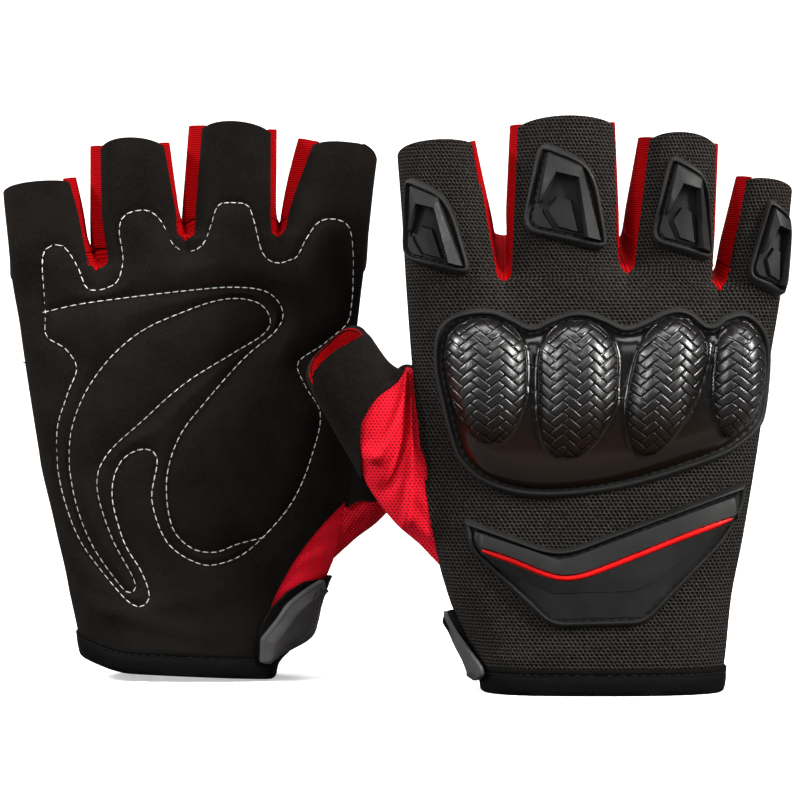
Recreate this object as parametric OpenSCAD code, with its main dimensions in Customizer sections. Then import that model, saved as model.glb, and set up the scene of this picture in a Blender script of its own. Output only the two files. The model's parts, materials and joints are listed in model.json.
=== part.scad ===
// A pair of half-finger riding gloves, standing on their cuffs as if worn.
// Every sub-part is drawn in one glove's own frame: X runs from the thumb side to the little finger,
// -Y is the back of the hand, +Y is the palm, and Z rises from the cuff to the fingertips.
// Glove B shows its back to the front (-Y); glove A is the same glove turned round to show its palm.

/* [Glove] */
// Cuff edge to the end of the middle finger
glove_len = 155; // [150:1:160]
// Width across the finger roots
palm_w = 102; // [100:0.5:104]
// Width of the cuff
cuff_w = 67; // [64:0.5:70]
// Depth of the cuff, back to palm
cuff_d = 34; // [32:0.5:36]
// Depth of the hand at the finger roots
root_d = 25; // [24:0.5:26]
// Height of the sewn cuff binding
cuff_h = 7; // [6:0.5:8]
// Thickness of the shell fabrics
fabric_t = 1.2; // [1:0.1:1.4]

/* [Guards] */
// How far the knuckle domes stand off the back
knuckle_rise = 9.5; // [8:0.5:11]
// Wall of the moulded knuckle shell
shell_t = 1.8; // [1.6:0.1:2]
// How far the rubber finger pads stand off the fingers
pad_rise = 3.6; // [3:0.2:4.2]
// How far the rubber wrist guard stands off the back
wrist_rise = 3.2; // [2.8:0.2:3.8]

/* [Thumb] */
// Angle of the thumb away from the fingers
thumb_angle = 36; // [34:1:38]
// Distance from the thumb's swing centre to its open end
thumb_reach = 53; // [51:1:54]
// Width of the thumb's open end
thumb_w = 20; // [19:0.5:21]

/* [Motion] */
// Furthest curl of a finger towards the palm, in degrees
flex_max = 40; // [20:5:40]

/* [Pair] */
// Sideways place of glove B, which shows its back
b_x = 54; // [54:0.1:60]
// Sideways place of glove A, which shows its palm
a_x = -60.3; // [-70:0.1:-60.3]
// Depth between each glove's middle and the middle of the pair
pair_y = 20; // [20:1:30]
// Sideways lean of glove A, in degrees
a_lean = 2.6; // [0:0.1:3]

/* [Hidden] */
FINGERS = ["index", "middle", "ring", "pinky"];
PARTS = concat(
    ["back_panel", "palm_panel", "lining", "cuff_binding", "finger_webs"],
    ["knuckle_guard", "knuckle_foam", "wrist_guard", "wrist_stripe", "palm_foam", "loop_patch"],
    ["thumb_stall", "thumb_binding", "thumb_gusset", "closure_strap", "pull_tab", "hook_patch"],
    [for (f = FINGERS, part = ["_stall", "_fourchette", "_pad"]) str(f, part)]
);

gap = 0.4;                              // air left between layers that are sewn together
web_z = 0.71 * glove_len;               // height of the finger roots
flare = (palm_w - cuff_w) / 2;
roundness = 0.8;                        // power of the hand's oval; 1 would be an ellipse
hinge_y = 2;                            // the fingers bend about lines just palm side of the middle
hinge_z = [128.8, 128.8, 128.8, 117.8]; // height of each finger's line of bending

// One value per finger, index to pinky
root_x = [-39, -7.2, 22, 43];           // middle of the finger at its root
root_w = [24.5, 27, 21, 17];
tip_x = [-42.7, -8, 23.2, 46.5];
tip_w = [22, 26.5, 20.5, 15.5];
tip_z = [-8.5, -1, -5.5, -19.5];        // counted from the full length
finger_root_d = 22;
finger_tip_d = 20;
seam = 24;                              // half the angle that a fourchette covers
// Corners of each finger pad: [x, height above the finger root], clockwise from the top thumb side
pad_corners = [
    [[-50.5, 27], [-41, 25], [-34.5, 4], [-50.5, 7]],
    [[-13.4, 37], [-2, 33.5], [2.5, 9], [-17.4, 14.5]],
    [[19.8, 33], [29, 30.5], [29.5, 6], [16.3, 11.5]],
    [[45, 22], [51, 18], [49, 2], [40, 6]]
];

// ---- the shape of the hand ----

function lerp(a, b, t) = a + (b - a) * t;
function swell(v) = sign(v) * pow(abs(v), roundness);
function thumb_edge(z) = -(cuff_w / 2 + flare * sin(90 * min(1, z / web_z)));
function pinky_edge(z) = cuff_w / 2 + flare * z / web_z;
function mid_x(z) = (thumb_edge(z) + pinky_edge(z)) / 2;
function half_w(z) = (pinky_edge(z) - thumb_edge(z)) / 2;
function half_d(z) = lerp(cuff_d, root_d, z / web_z) / 2;

// Point on the hand: t is 0 at the thumb side, 90 on the back, 180 at the little finger, 270 on the palm
function hand_point(t, z, off) =
    [mid_x(z) - (half_w(z) + off) * swell(cos(t)), -(half_d(z) + off) * swell(sin(t)), z];
// Distance from the middle of the hand to its back or palm at a given x
function hand_rise(x, z) =
    half_d(z) * pow(1 - pow(min(0.96, abs(x - mid_x(z)) / half_w(z)), 2 / roundness), roundness / 2);
function back_point(x, z, off) = [x, -hand_rise(x, z) - off, z];
function palm_point(x, z, off) = [x, hand_rise(x, z) + off, z];

function end_z(i) = glove_len + tip_z[i];
function along(i, z) = (z - web_z) / (end_z(i) - web_z);
function finger_x(i, z) = lerp(root_x[i], tip_x[i], along(i, z));
function finger_a(i, z) = lerp(root_w[i], tip_w[i], along(i, z)) / 2;
function finger_b(i, z) = lerp(finger_root_d, finger_tip_d, along(i, z)) / 2;
// The palm side of a finger starts higher, which leaves room for its root to swing over the hand
function swing(i, y, a) = (y * sin(a) - (hinge_z[i] - web_z)) / cos(a) + hinge_z[i] - web_z;
function finger_start(i, t) =
    let (y = max(0, -finger_root_d / 2 * sin(t) - hinge_y))
    web_z + 2 * gap + max([for (a = [0:5:flex_max]) swing(i, y, a)]);
function finger_point(i, t, v, off) =
    let (z = lerp(finger_start(i, t), end_z(i), v))
    [finger_x(i, z) - (finger_a(i, z) + off) * cos(t), -(finger_b(i, z) + off) * sin(t), z];

// ---- closed solids between two surfaces; each surface is a function of u and v from 0 to 1 ----

function split(a, b, c, d) = [[a, b, c], [a, c, d]];
function flat(lists) = [for (l = lists, item = l) item];
// Faces of a grid of points, where at(i, j) is the number of a point; they look away when turned
function cell(at, i, j) = split(at(i, j), at(i, j + 1), at(i + 1, j + 1), at(i + 1, j));
function grid_faces(nu, nv, at) = flat([for (i = [0:nu - 1], j = [0:nv - 1]) cell(at, i, j)]);
function turned(faces) = [for (f = faces) [f[0], f[2], f[1]]];
// Walls that join the two grids along their edges at v = 0 and v = 1
function end_faces(nu, nv, high, low) = concat(
    flat([for (i = [0:nu - 1]) split(high(i, 0), high(i + 1, 0), low(i + 1, 0), low(i, 0))]),
    flat([for (i = [0:nu - 1]) split(high(i + 1, nv), high(i, nv), low(i, nv), low(i + 1, nv))])
);

// A sheet with four free edges
module sheet(nu, nv, outer, inner) {
    n = (nu + 1) * (nv + 1);
    high = function (i, j) i * (nv + 1) + j;
    low = function (i, j) n + i * (nv + 1) + j;
    points = [for (face = [outer, inner], i = [0:nu], j = [0:nv]) face(i / nu, j / nv)];
    sides = concat(
        flat([for (j = [0:nv - 1]) split(high(0, j + 1), high(0, j), low(0, j), low(0, j + 1))]),
        flat([for (j = [0:nv - 1]) split(high(nu, j), high(nu, j + 1), low(nu, j + 1), low(nu, j))])
    );
    ends = end_faces(nu, nv, high, low);
    polyhedron(points, concat(grid_faces(nu, nv, high), turned(grid_faces(nu, nv, low)), ends, sides));
}

// A tube wall that closes on itself in u
module band(nu, nv, outer, inner) {
    n = nu * (nv + 1);
    high = function (i, j) (i % nu) * (nv + 1) + j;
    low = function (i, j) n + (i % nu) * (nv + 1) + j;
    points = [for (face = [outer, inner], i = [0:nu - 1], j = [0:nv]) face(i / nu, j / nv)];
    ends = end_faces(nu, nv, high, low);
    polyhedron(points, concat(grid_faces(nu, nv, high), turned(grid_faces(nu, nv, low)), ends));
}

// Part of the hand's oval between two angles and two heights, from offset `low` out to offset `high`
module hand_sheet(nu, nv, t0, t1, z0, z1, low, high) {
    sheet(nu, nv,
        function (u, v) hand_point(lerp(t0, t1, u), lerp(z0, z1, v), high),
        function (u, v) hand_point(lerp(t0, t1, u), lerp(z0, z1, v), low));
}

// ---- the fabric shell ----

module back_panel() color("#252321") hand_sheet(12, 7, 2, 178, cuff_h, web_z - gap, -fabric_t, 0);
module palm_panel() color("#1d1a18") hand_sheet(12, 7, 182, 358, cuff_h, web_z - gap, -fabric_t, 0);

module lining() {
    color("#2a2a2c") band(24, 4,
        function (u, v) hand_point(360 * u, lerp(cuff_h + 1, web_z - 6, v), -3.9),
        function (u, v) hand_point(360 * u, lerp(cuff_h + 1, web_z - 6, v), -4.5));
}

// The binding is a true prism, so that the glove stands on one flat ring
module cuff_binding() {
    outline = function (off) [for (k = [0:47]) let (p = hand_point(7.5 * k, cuff_h / 2, off)) [p.x, p.y]];
    color("#18181a") linear_extrude(cuff_h - gap) difference() {
        polygon(outline(1));
        polygon(outline(-1.8));
    }
}

// Red webs across the bottoms of the three finger notches
module finger_webs() {
    web_x = [for (i = [0:2]) (root_x[i] + root_w[i] / 2 + root_x[i + 1] - root_w[i + 1] / 2) / 2];
    depth = function (x) hand_rise(x, web_z) - fabric_t - gap;
    sag = function (u) 3 * (1 - pow(2 * u - 1, 2));
    point = function (x, u, v, drop)
        let (across = x + lerp(-3, 3, u))
        [across, depth(across) * lerp(-1, 1, v), web_z - drop - sag(u)];
    color("#c8101e") for (x = web_x) sheet(4, 1,
        function (u, v) point(x, u, v, 1),
        function (u, v) point(x, u, v, 2));
}

// ---- fingers ----

module stall_sheet(i, t0, t1) {
    sheet(6, 3,
        function (u, v) finger_point(i, lerp(t0, t1, u), v, 0),
        function (u, v) finger_point(i, lerp(t0, t1, u), v, -fabric_t));
}

// Back and palm cloth of one finger; the index and the pinky wrap round their outer side
module stall(i) {
    thumb_seam = i == 0 ? 1 : seam + 1;
    pinky_seam = i == 3 ? 179 : 179 - seam;
    color("#252321") stall_sheet(i, thumb_seam, pinky_seam);
    color("#1d1a18") stall_sheet(i, 360 - pinky_seam, 360 - thumb_seam);
}

// Red side walls of one finger, where it faces its neighbours
module fourchette(i) {
    color("#c8101e") {
        if (i > 0) stall_wall(i, 0);
        if (i < 3) stall_wall(i, 180);
    }
}

module stall_wall(i, middle) {
    sheet(2, 3,
        function (u, v) finger_point(i, middle + lerp(-seam, seam, u), v, 0),
        function (u, v) finger_point(i, middle + lerp(-seam, seam, u), v, -fabric_t));
}

// Rubber pad across the back of a finger, raised along its middle
module finger_pad(i) {
    c = pad_corners[i];
    spot = function (u, v) lerp(lerp(c[3], c[2], u), lerp(c[0], c[1], u), v);
    on_finger = function (p, off)
        let (z = web_z + p[1], reach = min(0.93, abs(p[0] - finger_x(i, z)) / finger_a(i, z)))
        [p[0], -finger_b(i, z) * sqrt(1 - reach * reach) - off, z];
    crown = function (u, v) lerp(1.8, pad_rise, sin(180 * u) * sin(180 * v));
    color("#333234") sheet(4, 4,
        function (u, v) on_finger(spot(u, v), gap + crown(u, v)),
        function (u, v) on_finger(spot(u, v), gap));
}

// ---- guards ----

guard_x = [-44, 46.5];                  // ends of the knuckle guard
lobe_x = [-31, -4.5, 20.5, 38.8];       // middle of each knuckle dome
lobe_w = [27, 26, 23, 18];
guard_low = 53;                         // lowest point of the guard, under the index knuckle
guard_top = 99;                         // height of the valleys between domes

function lobe(x) = max([for (k = [0:3]) max(0, 1 - pow((x - lobe_x[k]) / (lobe_w[k] / 2), 2))]);
function guard_top_z(x) = guard_top - 8 * pow(abs(x - 1) / 45, 8) + 4 * lobe(x);
function guard_bottom_z(x) =
    guard_low + 18 * pow(max(0, x + 12) / 57, 1.4) + 9 * pow(max(0, x - 32) / 14, 3)
    + 26 * pow(max(0, -12 - x) / 32, 3);
function guard_at(u, v) =
    let (x = lerp(guard_x[0], guard_x[1], u))
    [x, lerp(guard_bottom_z(x), guard_top_z(x), v)];
function guard_height(u, v) =
    let (x = guard_at(u, v)[0], rim = pow(sin(180 * u), 0.6) * pow(sin(180 * v), 0.6))
    2.4 + (knuckle_rise - 2.4) * rim * lerp(0.55, 1, lobe(x) * smoothstep(v / 0.7));
function smoothstep(t) = let (c = min(1, max(0, t))) c * c * (3 - 2 * c);

// Moulded shell with four domes, hollow over its foam
module knuckle_guard() {
    skin = function (u, v, off) let (p = guard_at(u, v)) back_point(p[0], p[1], off);
    color("#1c1c1e") sheet(24, 8,
        function (u, v) skin(u, v, gap + guard_height(u, v)),
        function (u, v) skin(u, v, gap + max(0, guard_height(u, v) - shell_t - 0.6)));
}

module knuckle_foam() {
    inset = function (w) lerp(0.13, 0.87, w);
    skin = function (u, v, off) let (p = guard_at(inset(u), inset(v))) back_point(p[0], p[1], off);
    height = function (u, v) guard_height(inset(u), inset(v)) - shell_t - 2.1;
    color("#6a6a6c") sheet(14, 5,
        function (u, v) skin(u, v, gap + height(u, v)),
        function (u, v) skin(u, v, gap));
}

wrist_x = [-35, 39];                    // ends of the wrist guard
wrist_notch = [-9.5, 38];               // bottom of the V in its upper edge
function wrist_top_z(x) =
    x < wrist_notch[0] ? lerp(47.3, wrist_notch[1], (x - wrist_x[0]) / (wrist_notch[0] - wrist_x[0]))
    : lerp(wrist_notch[1], 56.5, (x - wrist_notch[0]) / (wrist_x[1] - wrist_notch[0]));
function wrist_bottom_z(x) = 18 + 1.07 * max(0, -13 - x) + 1.18 * max(0, x - 12) + 0.4 * max(0, x - 36);

// Chevron of soft rubber over the wrist
module wrist_guard() {
    at = function (u, v)
        let (x = lerp(wrist_x[0], wrist_x[1], u))
        [x, lerp(wrist_bottom_z(x), wrist_top_z(x), v)];
    skin = function (u, v, off) let (p = at(u, v)) back_point(p[0], p[1], off);
    color("#2b2a2b") sheet(16, 4,
        function (u, v) skin(u, v, gap + wrist_rise * lerp(0.6, 1, sin(180 * v))),
        function (u, v) skin(u, v, gap));
}

// Red line that follows the V on top of the wrist guard
module wrist_stripe() {
    at = function (u, v) let (x = lerp(-30, 34, u)) [x, wrist_top_z(x) - 6.5 + 1.6 * v];
    skin = function (u, v, off) let (p = at(u, v)) back_point(p[0], p[1], off);
    color("#e01822") sheet(10, 1,
        function (u, v) skin(u, v, 2 * gap + wrist_rise + 0.8),
        function (u, v) skin(u, v, 2 * gap + wrist_rise));
}

// ---- palm padding, between the palm panel and the lining ----

// Cushion outline: it narrows towards both ends
module foam_pad(x0, x1, z0, z1, lean) {
    half = function (u) (z1 - z0) / 2 * (1 - 0.7 * pow(abs(2 * u - 1), 3));
    at = function (u, v) [lerp(x0, x1, u), (z0 + z1) / 2 + lean * (u - 0.5) + half(u) * (2 * v - 1)];
    skin = function (u, v, off) let (p = at(u, v)) palm_point(p[0], p[1], off);
    sheet(12, 3,
        function (u, v) skin(u, v, -fabric_t - 0.5),
        function (u, v) skin(u, v, -2.8));
}

module palm_foam() {
    color("#6a6a6c") {
        foam_pad(-38, 40, 90, web_z - 7, 0);    // under the finger roots
        foam_pad(-38, -2, 36, 84, -6);          // heel of the thumb
        foam_pad(8, 33, 24, 82, 18);            // outer heel of the hand
    }
}

// ---- thumb ----

thumb_pivot = [-39, 0, 48];
thumb_dir = [-sin(thumb_angle), 0, cos(thumb_angle)];
thumb_across = [cos(thumb_angle), 0, sin(thumb_angle)];
thumb_root = 36;                        // from the pivot to the stall's inner end
thumb_root_w = 22.5;
thumb_d = 18;

// Point on the thumb's oval at a distance from its pivot; t is 0 on the side near the index finger
function thumb_point(t, reach, half_width, half_depth) =
    thumb_pivot + reach * thumb_dir + half_width * cos(t) * thumb_across + [0, half_depth * sin(t), 0];

module thumb_tube(from, to, low, high) {
    share = function (reach) (reach - thumb_root) / (thumb_reach - thumb_root);
    wide = function (reach) lerp(thumb_root_w, thumb_w, share(reach)) / 2;
    point = function (u, v, off)
        let (reach = lerp(from, to, v))
        thumb_point(360 * u, reach, wide(reach) + off, thumb_d / 2 + off);
    band(20, 2, function (u, v) point(u, v, high), function (u, v) point(u, v, low));
}

module thumb_stall() color("#1a1817") thumb_tube(thumb_root, thumb_reach, -fabric_t, 0);
// Red tape sewn round the inside of the thumb's open end
module thumb_binding() {
    color("#c8101e") thumb_tube(thumb_reach - 3, thumb_reach - 0.5, -fabric_t - 0.9, -fabric_t - 0.3);
}

// Mesh gusset from the side of the hand to the thumb
module thumb_gusset() {
    low = 36;
    high = 76;
    hand_ring = function (t, off)
        let (z = (low + high) / 2 + ((high - low) / 2 + off) * cos(t))
        [thumb_edge(z) - 1, (8 + off) * sin(t), z];
    thumb_ring = function (t, off) thumb_point(t, thumb_root - 3, 8 + off, 8 + off);
    point = function (u, v, off) lerp(hand_ring(360 * u, off), thumb_ring(360 * u, off), v);
    color("#c8101e") band(20, 3,
        function (u, v) point(u, v, 0),
        function (u, v) point(u, v, -1));
}

// ---- closure ----

strap_z = [4, 27];
strap_t = [303, 357];                   // from its free end on the palm to its sewn root at the thumb side

module closure_strap() {
    color("#18181a") hand_sheet(8, 2, strap_t[0], strap_t[1], strap_z[0], strap_z[1], 2.4, 3.4);
}
module hook_patch() color("#242426") hand_sheet(5, 2, strap_t[0] + 1, 338, 9, 25, 1.5, 2);
module loop_patch() color("#242426") hand_sheet(5, 2, strap_t[0] + 1, 338, 9, 25, 0.5, 1.1);

// Moulded rubber grip on the free end of the strap
module pull_tab() {
    z0 = function (u) lerp(strap_z[0] - 2, strap_z[0] + 7, pow(u, 2));
    z1 = function (u) lerp(strap_z[1] - 8, strap_z[1], sqrt(u));
    point = function (u, v, off) hand_point(lerp(strap_t[0] - 1, 342, u), lerp(z0(u), z1(u), v), off);
    color("#3c3b3d") sheet(6, 4,
        function (u, v) point(u, v, 4.6 + 1.8 * sin(180 * u) * sin(180 * v)),
        function (u, v) point(u, v, 3.8));
}

// ---- one glove, and the pair ----

module sub_part(name) {
    if (name == "back_panel") back_panel();
    if (name == "palm_panel") palm_panel();
    if (name == "lining") lining();
    if (name == "cuff_binding") cuff_binding();
    if (name == "finger_webs") finger_webs();
    if (name == "knuckle_guard") knuckle_guard();
    if (name == "knuckle_foam") knuckle_foam();
    if (name == "wrist_guard") wrist_guard();
    if (name == "wrist_stripe") wrist_stripe();
    if (name == "palm_foam") palm_foam();
    if (name == "loop_patch") loop_patch();
    if (name == "thumb_stall") thumb_stall();
    if (name == "thumb_binding") thumb_binding();
    if (name == "thumb_gusset") thumb_gusset();
    if (name == "closure_strap") closure_strap();
    if (name == "pull_tab") pull_tab();
    if (name == "hook_patch") hook_patch();
    for (i = [0:3]) {
        if (name == str(FINGERS[i], "_stall")) stall(i);
        if (name == str(FINGERS[i], "_fourchette")) fourchette(i);
        if (name == str(FINGERS[i], "_pad")) finger_pad(i);
    }
}

module glove_a() {
    lift = (cuff_w / 2 + 2) * sin(a_lean);      // the leaning cuff keeps its lowest corner on the ground
    translate([a_x, pair_y, lift]) rotate([0, a_lean, 0]) rotate(180) children();
}
module glove_b() translate([b_x, -pair_y, 0]) children();

for (part = PARTS) {
    glove_a() sub_part(part);
    glove_b() sub_part(part);
}
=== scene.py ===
"""Looks of a pair of half-finger riding gloves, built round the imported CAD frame.

Every piece is first built in one glove's own frame, in millimetres: x runs from the thumb side to the
little finger, -y is the back of the hand, +y the palm and z rises from the cuff to the fingertips.
add() then puts a copy on each glove, where that glove's mount and joints say it stands.
"""

import json
import math

import bpy
import numpy as np
from mathutils import Matrix, Vector


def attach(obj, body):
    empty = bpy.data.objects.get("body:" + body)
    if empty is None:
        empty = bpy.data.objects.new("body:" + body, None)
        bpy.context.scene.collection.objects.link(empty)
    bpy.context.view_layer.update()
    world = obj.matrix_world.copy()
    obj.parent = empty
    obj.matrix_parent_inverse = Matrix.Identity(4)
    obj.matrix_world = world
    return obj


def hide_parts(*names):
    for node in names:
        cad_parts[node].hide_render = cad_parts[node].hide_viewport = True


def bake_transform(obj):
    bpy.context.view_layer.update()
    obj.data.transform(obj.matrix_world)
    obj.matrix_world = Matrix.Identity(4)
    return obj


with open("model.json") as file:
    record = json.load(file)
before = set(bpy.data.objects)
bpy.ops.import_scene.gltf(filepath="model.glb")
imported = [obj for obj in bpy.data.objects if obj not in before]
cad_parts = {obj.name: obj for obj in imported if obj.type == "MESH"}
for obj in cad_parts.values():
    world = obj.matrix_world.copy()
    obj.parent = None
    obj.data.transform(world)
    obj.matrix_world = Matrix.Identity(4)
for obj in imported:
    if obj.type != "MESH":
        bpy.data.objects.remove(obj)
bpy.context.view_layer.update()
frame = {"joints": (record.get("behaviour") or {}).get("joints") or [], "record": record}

MM = 0.001
GLOVES = ("glove_a", "glove_b")
FINGERS = ("index", "middle", "ring", "pinky")
JOINTS = {joint["name"]: joint for joint in frame["joints"]}
MOUNTS = {mount["name"]: mount for mount in frame["record"]["mounts"]}
THUMB_PIVOT = Vector((-39, 0, 48))      # in the glove's frame; the same point as the CAD hinge


def placement(glove):
    """Matrix from the glove's own frame, in millimetres, to the row's frame, in metres."""
    up = -Vector(MOUNTS[glove + "_cuff_rest"]["axis"])
    across = -Vector(JOINTS[glove + "_index_flex"]["axis"])
    turn = Matrix((across, up.cross(across), up)).transposed()
    origin = Vector(JOINTS[glove + "_thumb_swing"]["pos_m"]) - turn @ THUMB_PIVOT * MM
    return Matrix.Translation(origin) @ turn.to_4x4() @ Matrix.Scale(MM, 4)


PLACE = {glove: placement(glove) for glove in GLOVES}


# ---------------------------------------------------------------- curves and numbers

def lerp(a, b, t):
    return a + (b - a) * t


def ramp(x, low, high):
    """0 below low, 1 above high, smooth between."""
    t = np.clip((x - low) / (high - low), 0, 1)
    return t * t * (3 - 2 * t)


def spline(keys, closed=False, steps=12):
    """Catmull-Rom curve through the keys, as an array of points."""
    p = np.array(keys, float)
    if closed:
        p = np.vstack([p[-1], p, p[0], p[1]])
    else:
        p = np.vstack([2 * p[0] - p[1], p, 2 * p[-1] - p[-2]])
    t = np.linspace(0, 1, steps, endpoint=False)[:, None]
    pieces = []
    for a, b, c, d in zip(p[:-3], p[1:-2], p[2:-1], p[3:]):
        bend = 2 * a - 5 * b + 4 * c - d
        pieces.append(b + 0.5 * t * (c - a + t * (bend + t * (3 * (b - c) + d - a))))
    curve = np.vstack(pieces)
    return curve if closed else np.vstack([curve, p[-2]])


def profile(*keys):
    """Smooth function of one number through (place, value) keys."""
    dense = spline(keys)
    return lambda s: np.interp(s, dense[:, 0], dense[:, 1])


def resample(points, step, closed=False):
    """Evenly spaced points along a polyline."""
    p = np.vstack([points, points[:1]]) if closed else np.asarray(points, float)
    length = np.concatenate([[0], np.cumsum(np.linalg.norm(np.diff(p, axis=0), axis=1))])
    count = max(2, int(round(length[-1] / step)))
    places = np.linspace(0, length[-1], count, endpoint=not closed)
    return np.stack([np.interp(places, length, p[:, k]) for k in range(p.shape[1])], 1)


def smoothed(path, reach):
    """The path with each point at the mean of its neighbours within a reach."""
    share = np.ones(2 * reach + 1) / (2 * reach + 1)
    return np.stack([np.convolve(np.pad(line, reach, "edge"), share, "valid") for line in path.T], 1)


def distance_to(curve, x, z):
    """Distance of each (x, z) from a polyline."""
    best = np.full(np.shape(x), 1e9)
    for a, b in zip(curve[:-1], curve[1:]):
        d = b - a
        t = np.clip(((x - a[0]) * d[0] + (z - a[1]) * d[1]) / max(d @ d, 1e-9), 0, 1)
        best = np.minimum(best, (x - a[0] - t * d[0]) ** 2 + (z - a[1] - t * d[1]) ** 2)
    return np.sqrt(best)


def inside(curve, x, z):
    """Whether each (x, z) is inside a closed polyline."""
    result = np.zeros(np.shape(x), bool)
    for a, b in zip(curve, np.roll(curve, -1, axis=0)):
        crosses = (a[1] > z) != (b[1] > z)
        at = a[0] + (z - a[1]) * (b[0] - a[0]) / (b[1] - a[1] if b[1] != a[1] else 1e-9)
        result ^= crosses & (x < at)
    return result


def signed_power(v, power):
    """A power of the size of v, with the sign of v."""
    return np.sign(v) * np.abs(v) ** power


def closed_run(curve):
    """The curve with its first point repeated at its end."""
    return np.vstack([curve, curve[:1]])


def inward_of(outline, middle=None):
    """Unit vectors from each point of a closed outline towards its inside."""
    tangent = np.roll(outline, -2, 0) - np.roll(outline, 2, 0)
    inward = np.stack([-tangent[:, 1], tangent[:, 0]], 1)
    inward /= np.linalg.norm(inward, axis=1, keepdims=True)
    centre = outline.mean(0) if middle is None else np.array(middle, float)
    return -inward if np.mean(np.sum(inward * (centre - outline), 1)) < 0 else inward


def inset_path(outline, inset):
    """The outline moved inwards by a distance."""
    path = resample(outline, 0.8, closed=True)
    return path + inward_of(path) * inset


# ---------------------------------------------------------------- the shape of the glove

thumb_edge = profile(
    (0, -33.5), (4, -34), (14, -36.6), (25, -39.4), (37, -42.6), (60, -46.3), (84, -49), (110, -51),
    (127, -52), (148, -53.6),
)
pinky_edge = profile(
    (0, 34), (10, 35.5), (26, 37.2), (42, 40.3), (64, 44), (81, 46.4), (92, 48), (108, 50.6),
    (134, 53.4), (150, 54.6),
)
back_depth = profile(
    (0, 17), (25, 15.6), (60, 14.2), (90, 13.2), (112, 12.2), (150, 12),
)
palm_depth = profile(
    (0, 17), (25, 15.8), (60, 14.8), (90, 13.2), (112, 12), (150, 11.8),
)
BACK, PALM = -1, 1
WEBS = {BACK: ((-24.5, 110.7), (8.5, 113.2), (33.2, 109.2)),
        PALM: ((-24.3, 123.6), (5.6, 122.4), (31.0, 113.0))}
# Top corners of each finger: thumb side, crown, little-finger side
TOPS = (
    ((-53.5, 144.4), (-42.7, 148.3), (-31.5, 147.6)), ((-22.1, 152), (-8.9, 154.8), (6.0, 152.6)),
    ((11.7, 148.6), (22.6, 150.4), (34.4, 146.9)), ((38.4, 138), (45.9, 137.8), (53.4, 134.3)),
)
# How much of a red side wall shows beside the cloth, by notch, on the notch's thumb side and its other side
WALL_SHOWN = {BACK: ((1.2, 1.2), (1.0, 2.8), (0.4, 2.3)), PALM: ((4.2, 1.0), (4.8, 1.4), (4.0, 1.3))}
WEB_RADIUS = {BACK: (1.8, 1.8), PALM: (3.2, 1.8)}
CROWN_DEPTH = (11, 11.4, 11, 9.6)       # of each finger, from its middle plane
SEAM_DEPTH = 6.2
SEAM_ANGLE = math.radians(65)
SEAM_REACH = 0.6                        # how far past its seam a finger's cloth still counts
SPLIT_Z = {BACK: 107.5, PALM: 110}      # where the hand's cloth is handed over to the fingers' cloth
CLOTH = 1.1                             # thickness of the shell cloth
WALL_CLOTH = 0.8                        # thickness of the red walls' cloth
ROUNDNESS = 0.8                         # power of the wrist's rounded section
THUMB_MID, THUMB_HALF, THUMB_RISE = 61, 26.5, 7.5   # the oval that the thumb leaves the hand by
# Edge of the palm cloth beside the red tail of the gusset: height, x
tail_edge = profile(
    (14.5, -36.6), (17, -27.6), (20, -25.4), (34, -31.4), (43, -37.4), (50, -43.6), (56, -49.6),
)
TAIL_SPAN = (14.5, 56)


def hand_middle(z):
    """x of the middle of the hand at a height."""
    return (thumb_edge(z) + pinky_edge(z)) / 2


def hand_half(z):
    """Half the width of the hand at a height."""
    return (pinky_edge(z) - thumb_edge(z)) / 2


def hand_depth(side, x, z):
    """Distance of the hand's surface from its middle plane."""
    across = (x - hand_middle(z)) / hand_half(z)
    depth = back_depth(z) if side == BACK else palm_depth(z)
    plain = depth * (1 - np.minimum(np.abs(across), 0.9995) ** 2.5) ** 0.4
    window = np.sqrt(np.maximum(0, 1 - ((z - THUMB_MID) / THUMB_HALF) ** 2))
    lift = THUMB_RISE * window * np.clip(-across, 0, 1) ** 6
    return (plain ** 3 + lift ** 3) ** (1 / 3)


def seam_x(side, notch, arm, z):
    """Where the cloth ends beside a finger notch; arm -1 is the notch's thumb side."""
    web_x, web_z = WEBS[side][notch]
    finger = TOPS[notch if arm < 0 else notch + 1]
    top_x, top_z = finger[2] if arm < 0 else finger[0]
    shown, radius = WALL_SHOWN[side][notch][arm > 0], WEB_RADIUS[side][arm > 0]
    slope = (abs(top_x + arm * shown - web_x) - radius) / (top_z - web_z)
    rise = np.maximum(0, z - web_z)
    turn = np.minimum(rise, radius) / radius
    arc = radius * np.sqrt(np.maximum(0, 1 - (1 - turn) ** 2))
    share = (web_x - hand_middle(web_z)) / hand_half(web_z)
    below = hand_middle(z) + share * hand_half(z)
    return np.where(z < web_z, below, web_x + arm * (arc + slope * rise))


def finger_limits(side, finger, z):
    """x of the two edges of a finger's cloth, and below it of its share of the hand."""
    left = thumb_edge(z) if finger == 0 else seam_x(side, finger - 1, 1, z)
    if side == PALM and finger == 0:
        low, high = TAIL_SPAN
        left = np.where((z > low) & (z < high), np.maximum(left, tail_edge(z)), left)
    right = pinky_edge(z) if finger == 3 else seam_x(side, finger, -1, z)
    return left, right


def arc_of(finger):
    """First and last angle of a finger's cloth round its section; 0 is the crown."""
    return (-math.pi / 2 if finger == 0 else -SEAM_ANGLE), (math.pi / 2 if finger == 3 else SEAM_ANGLE)


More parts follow.
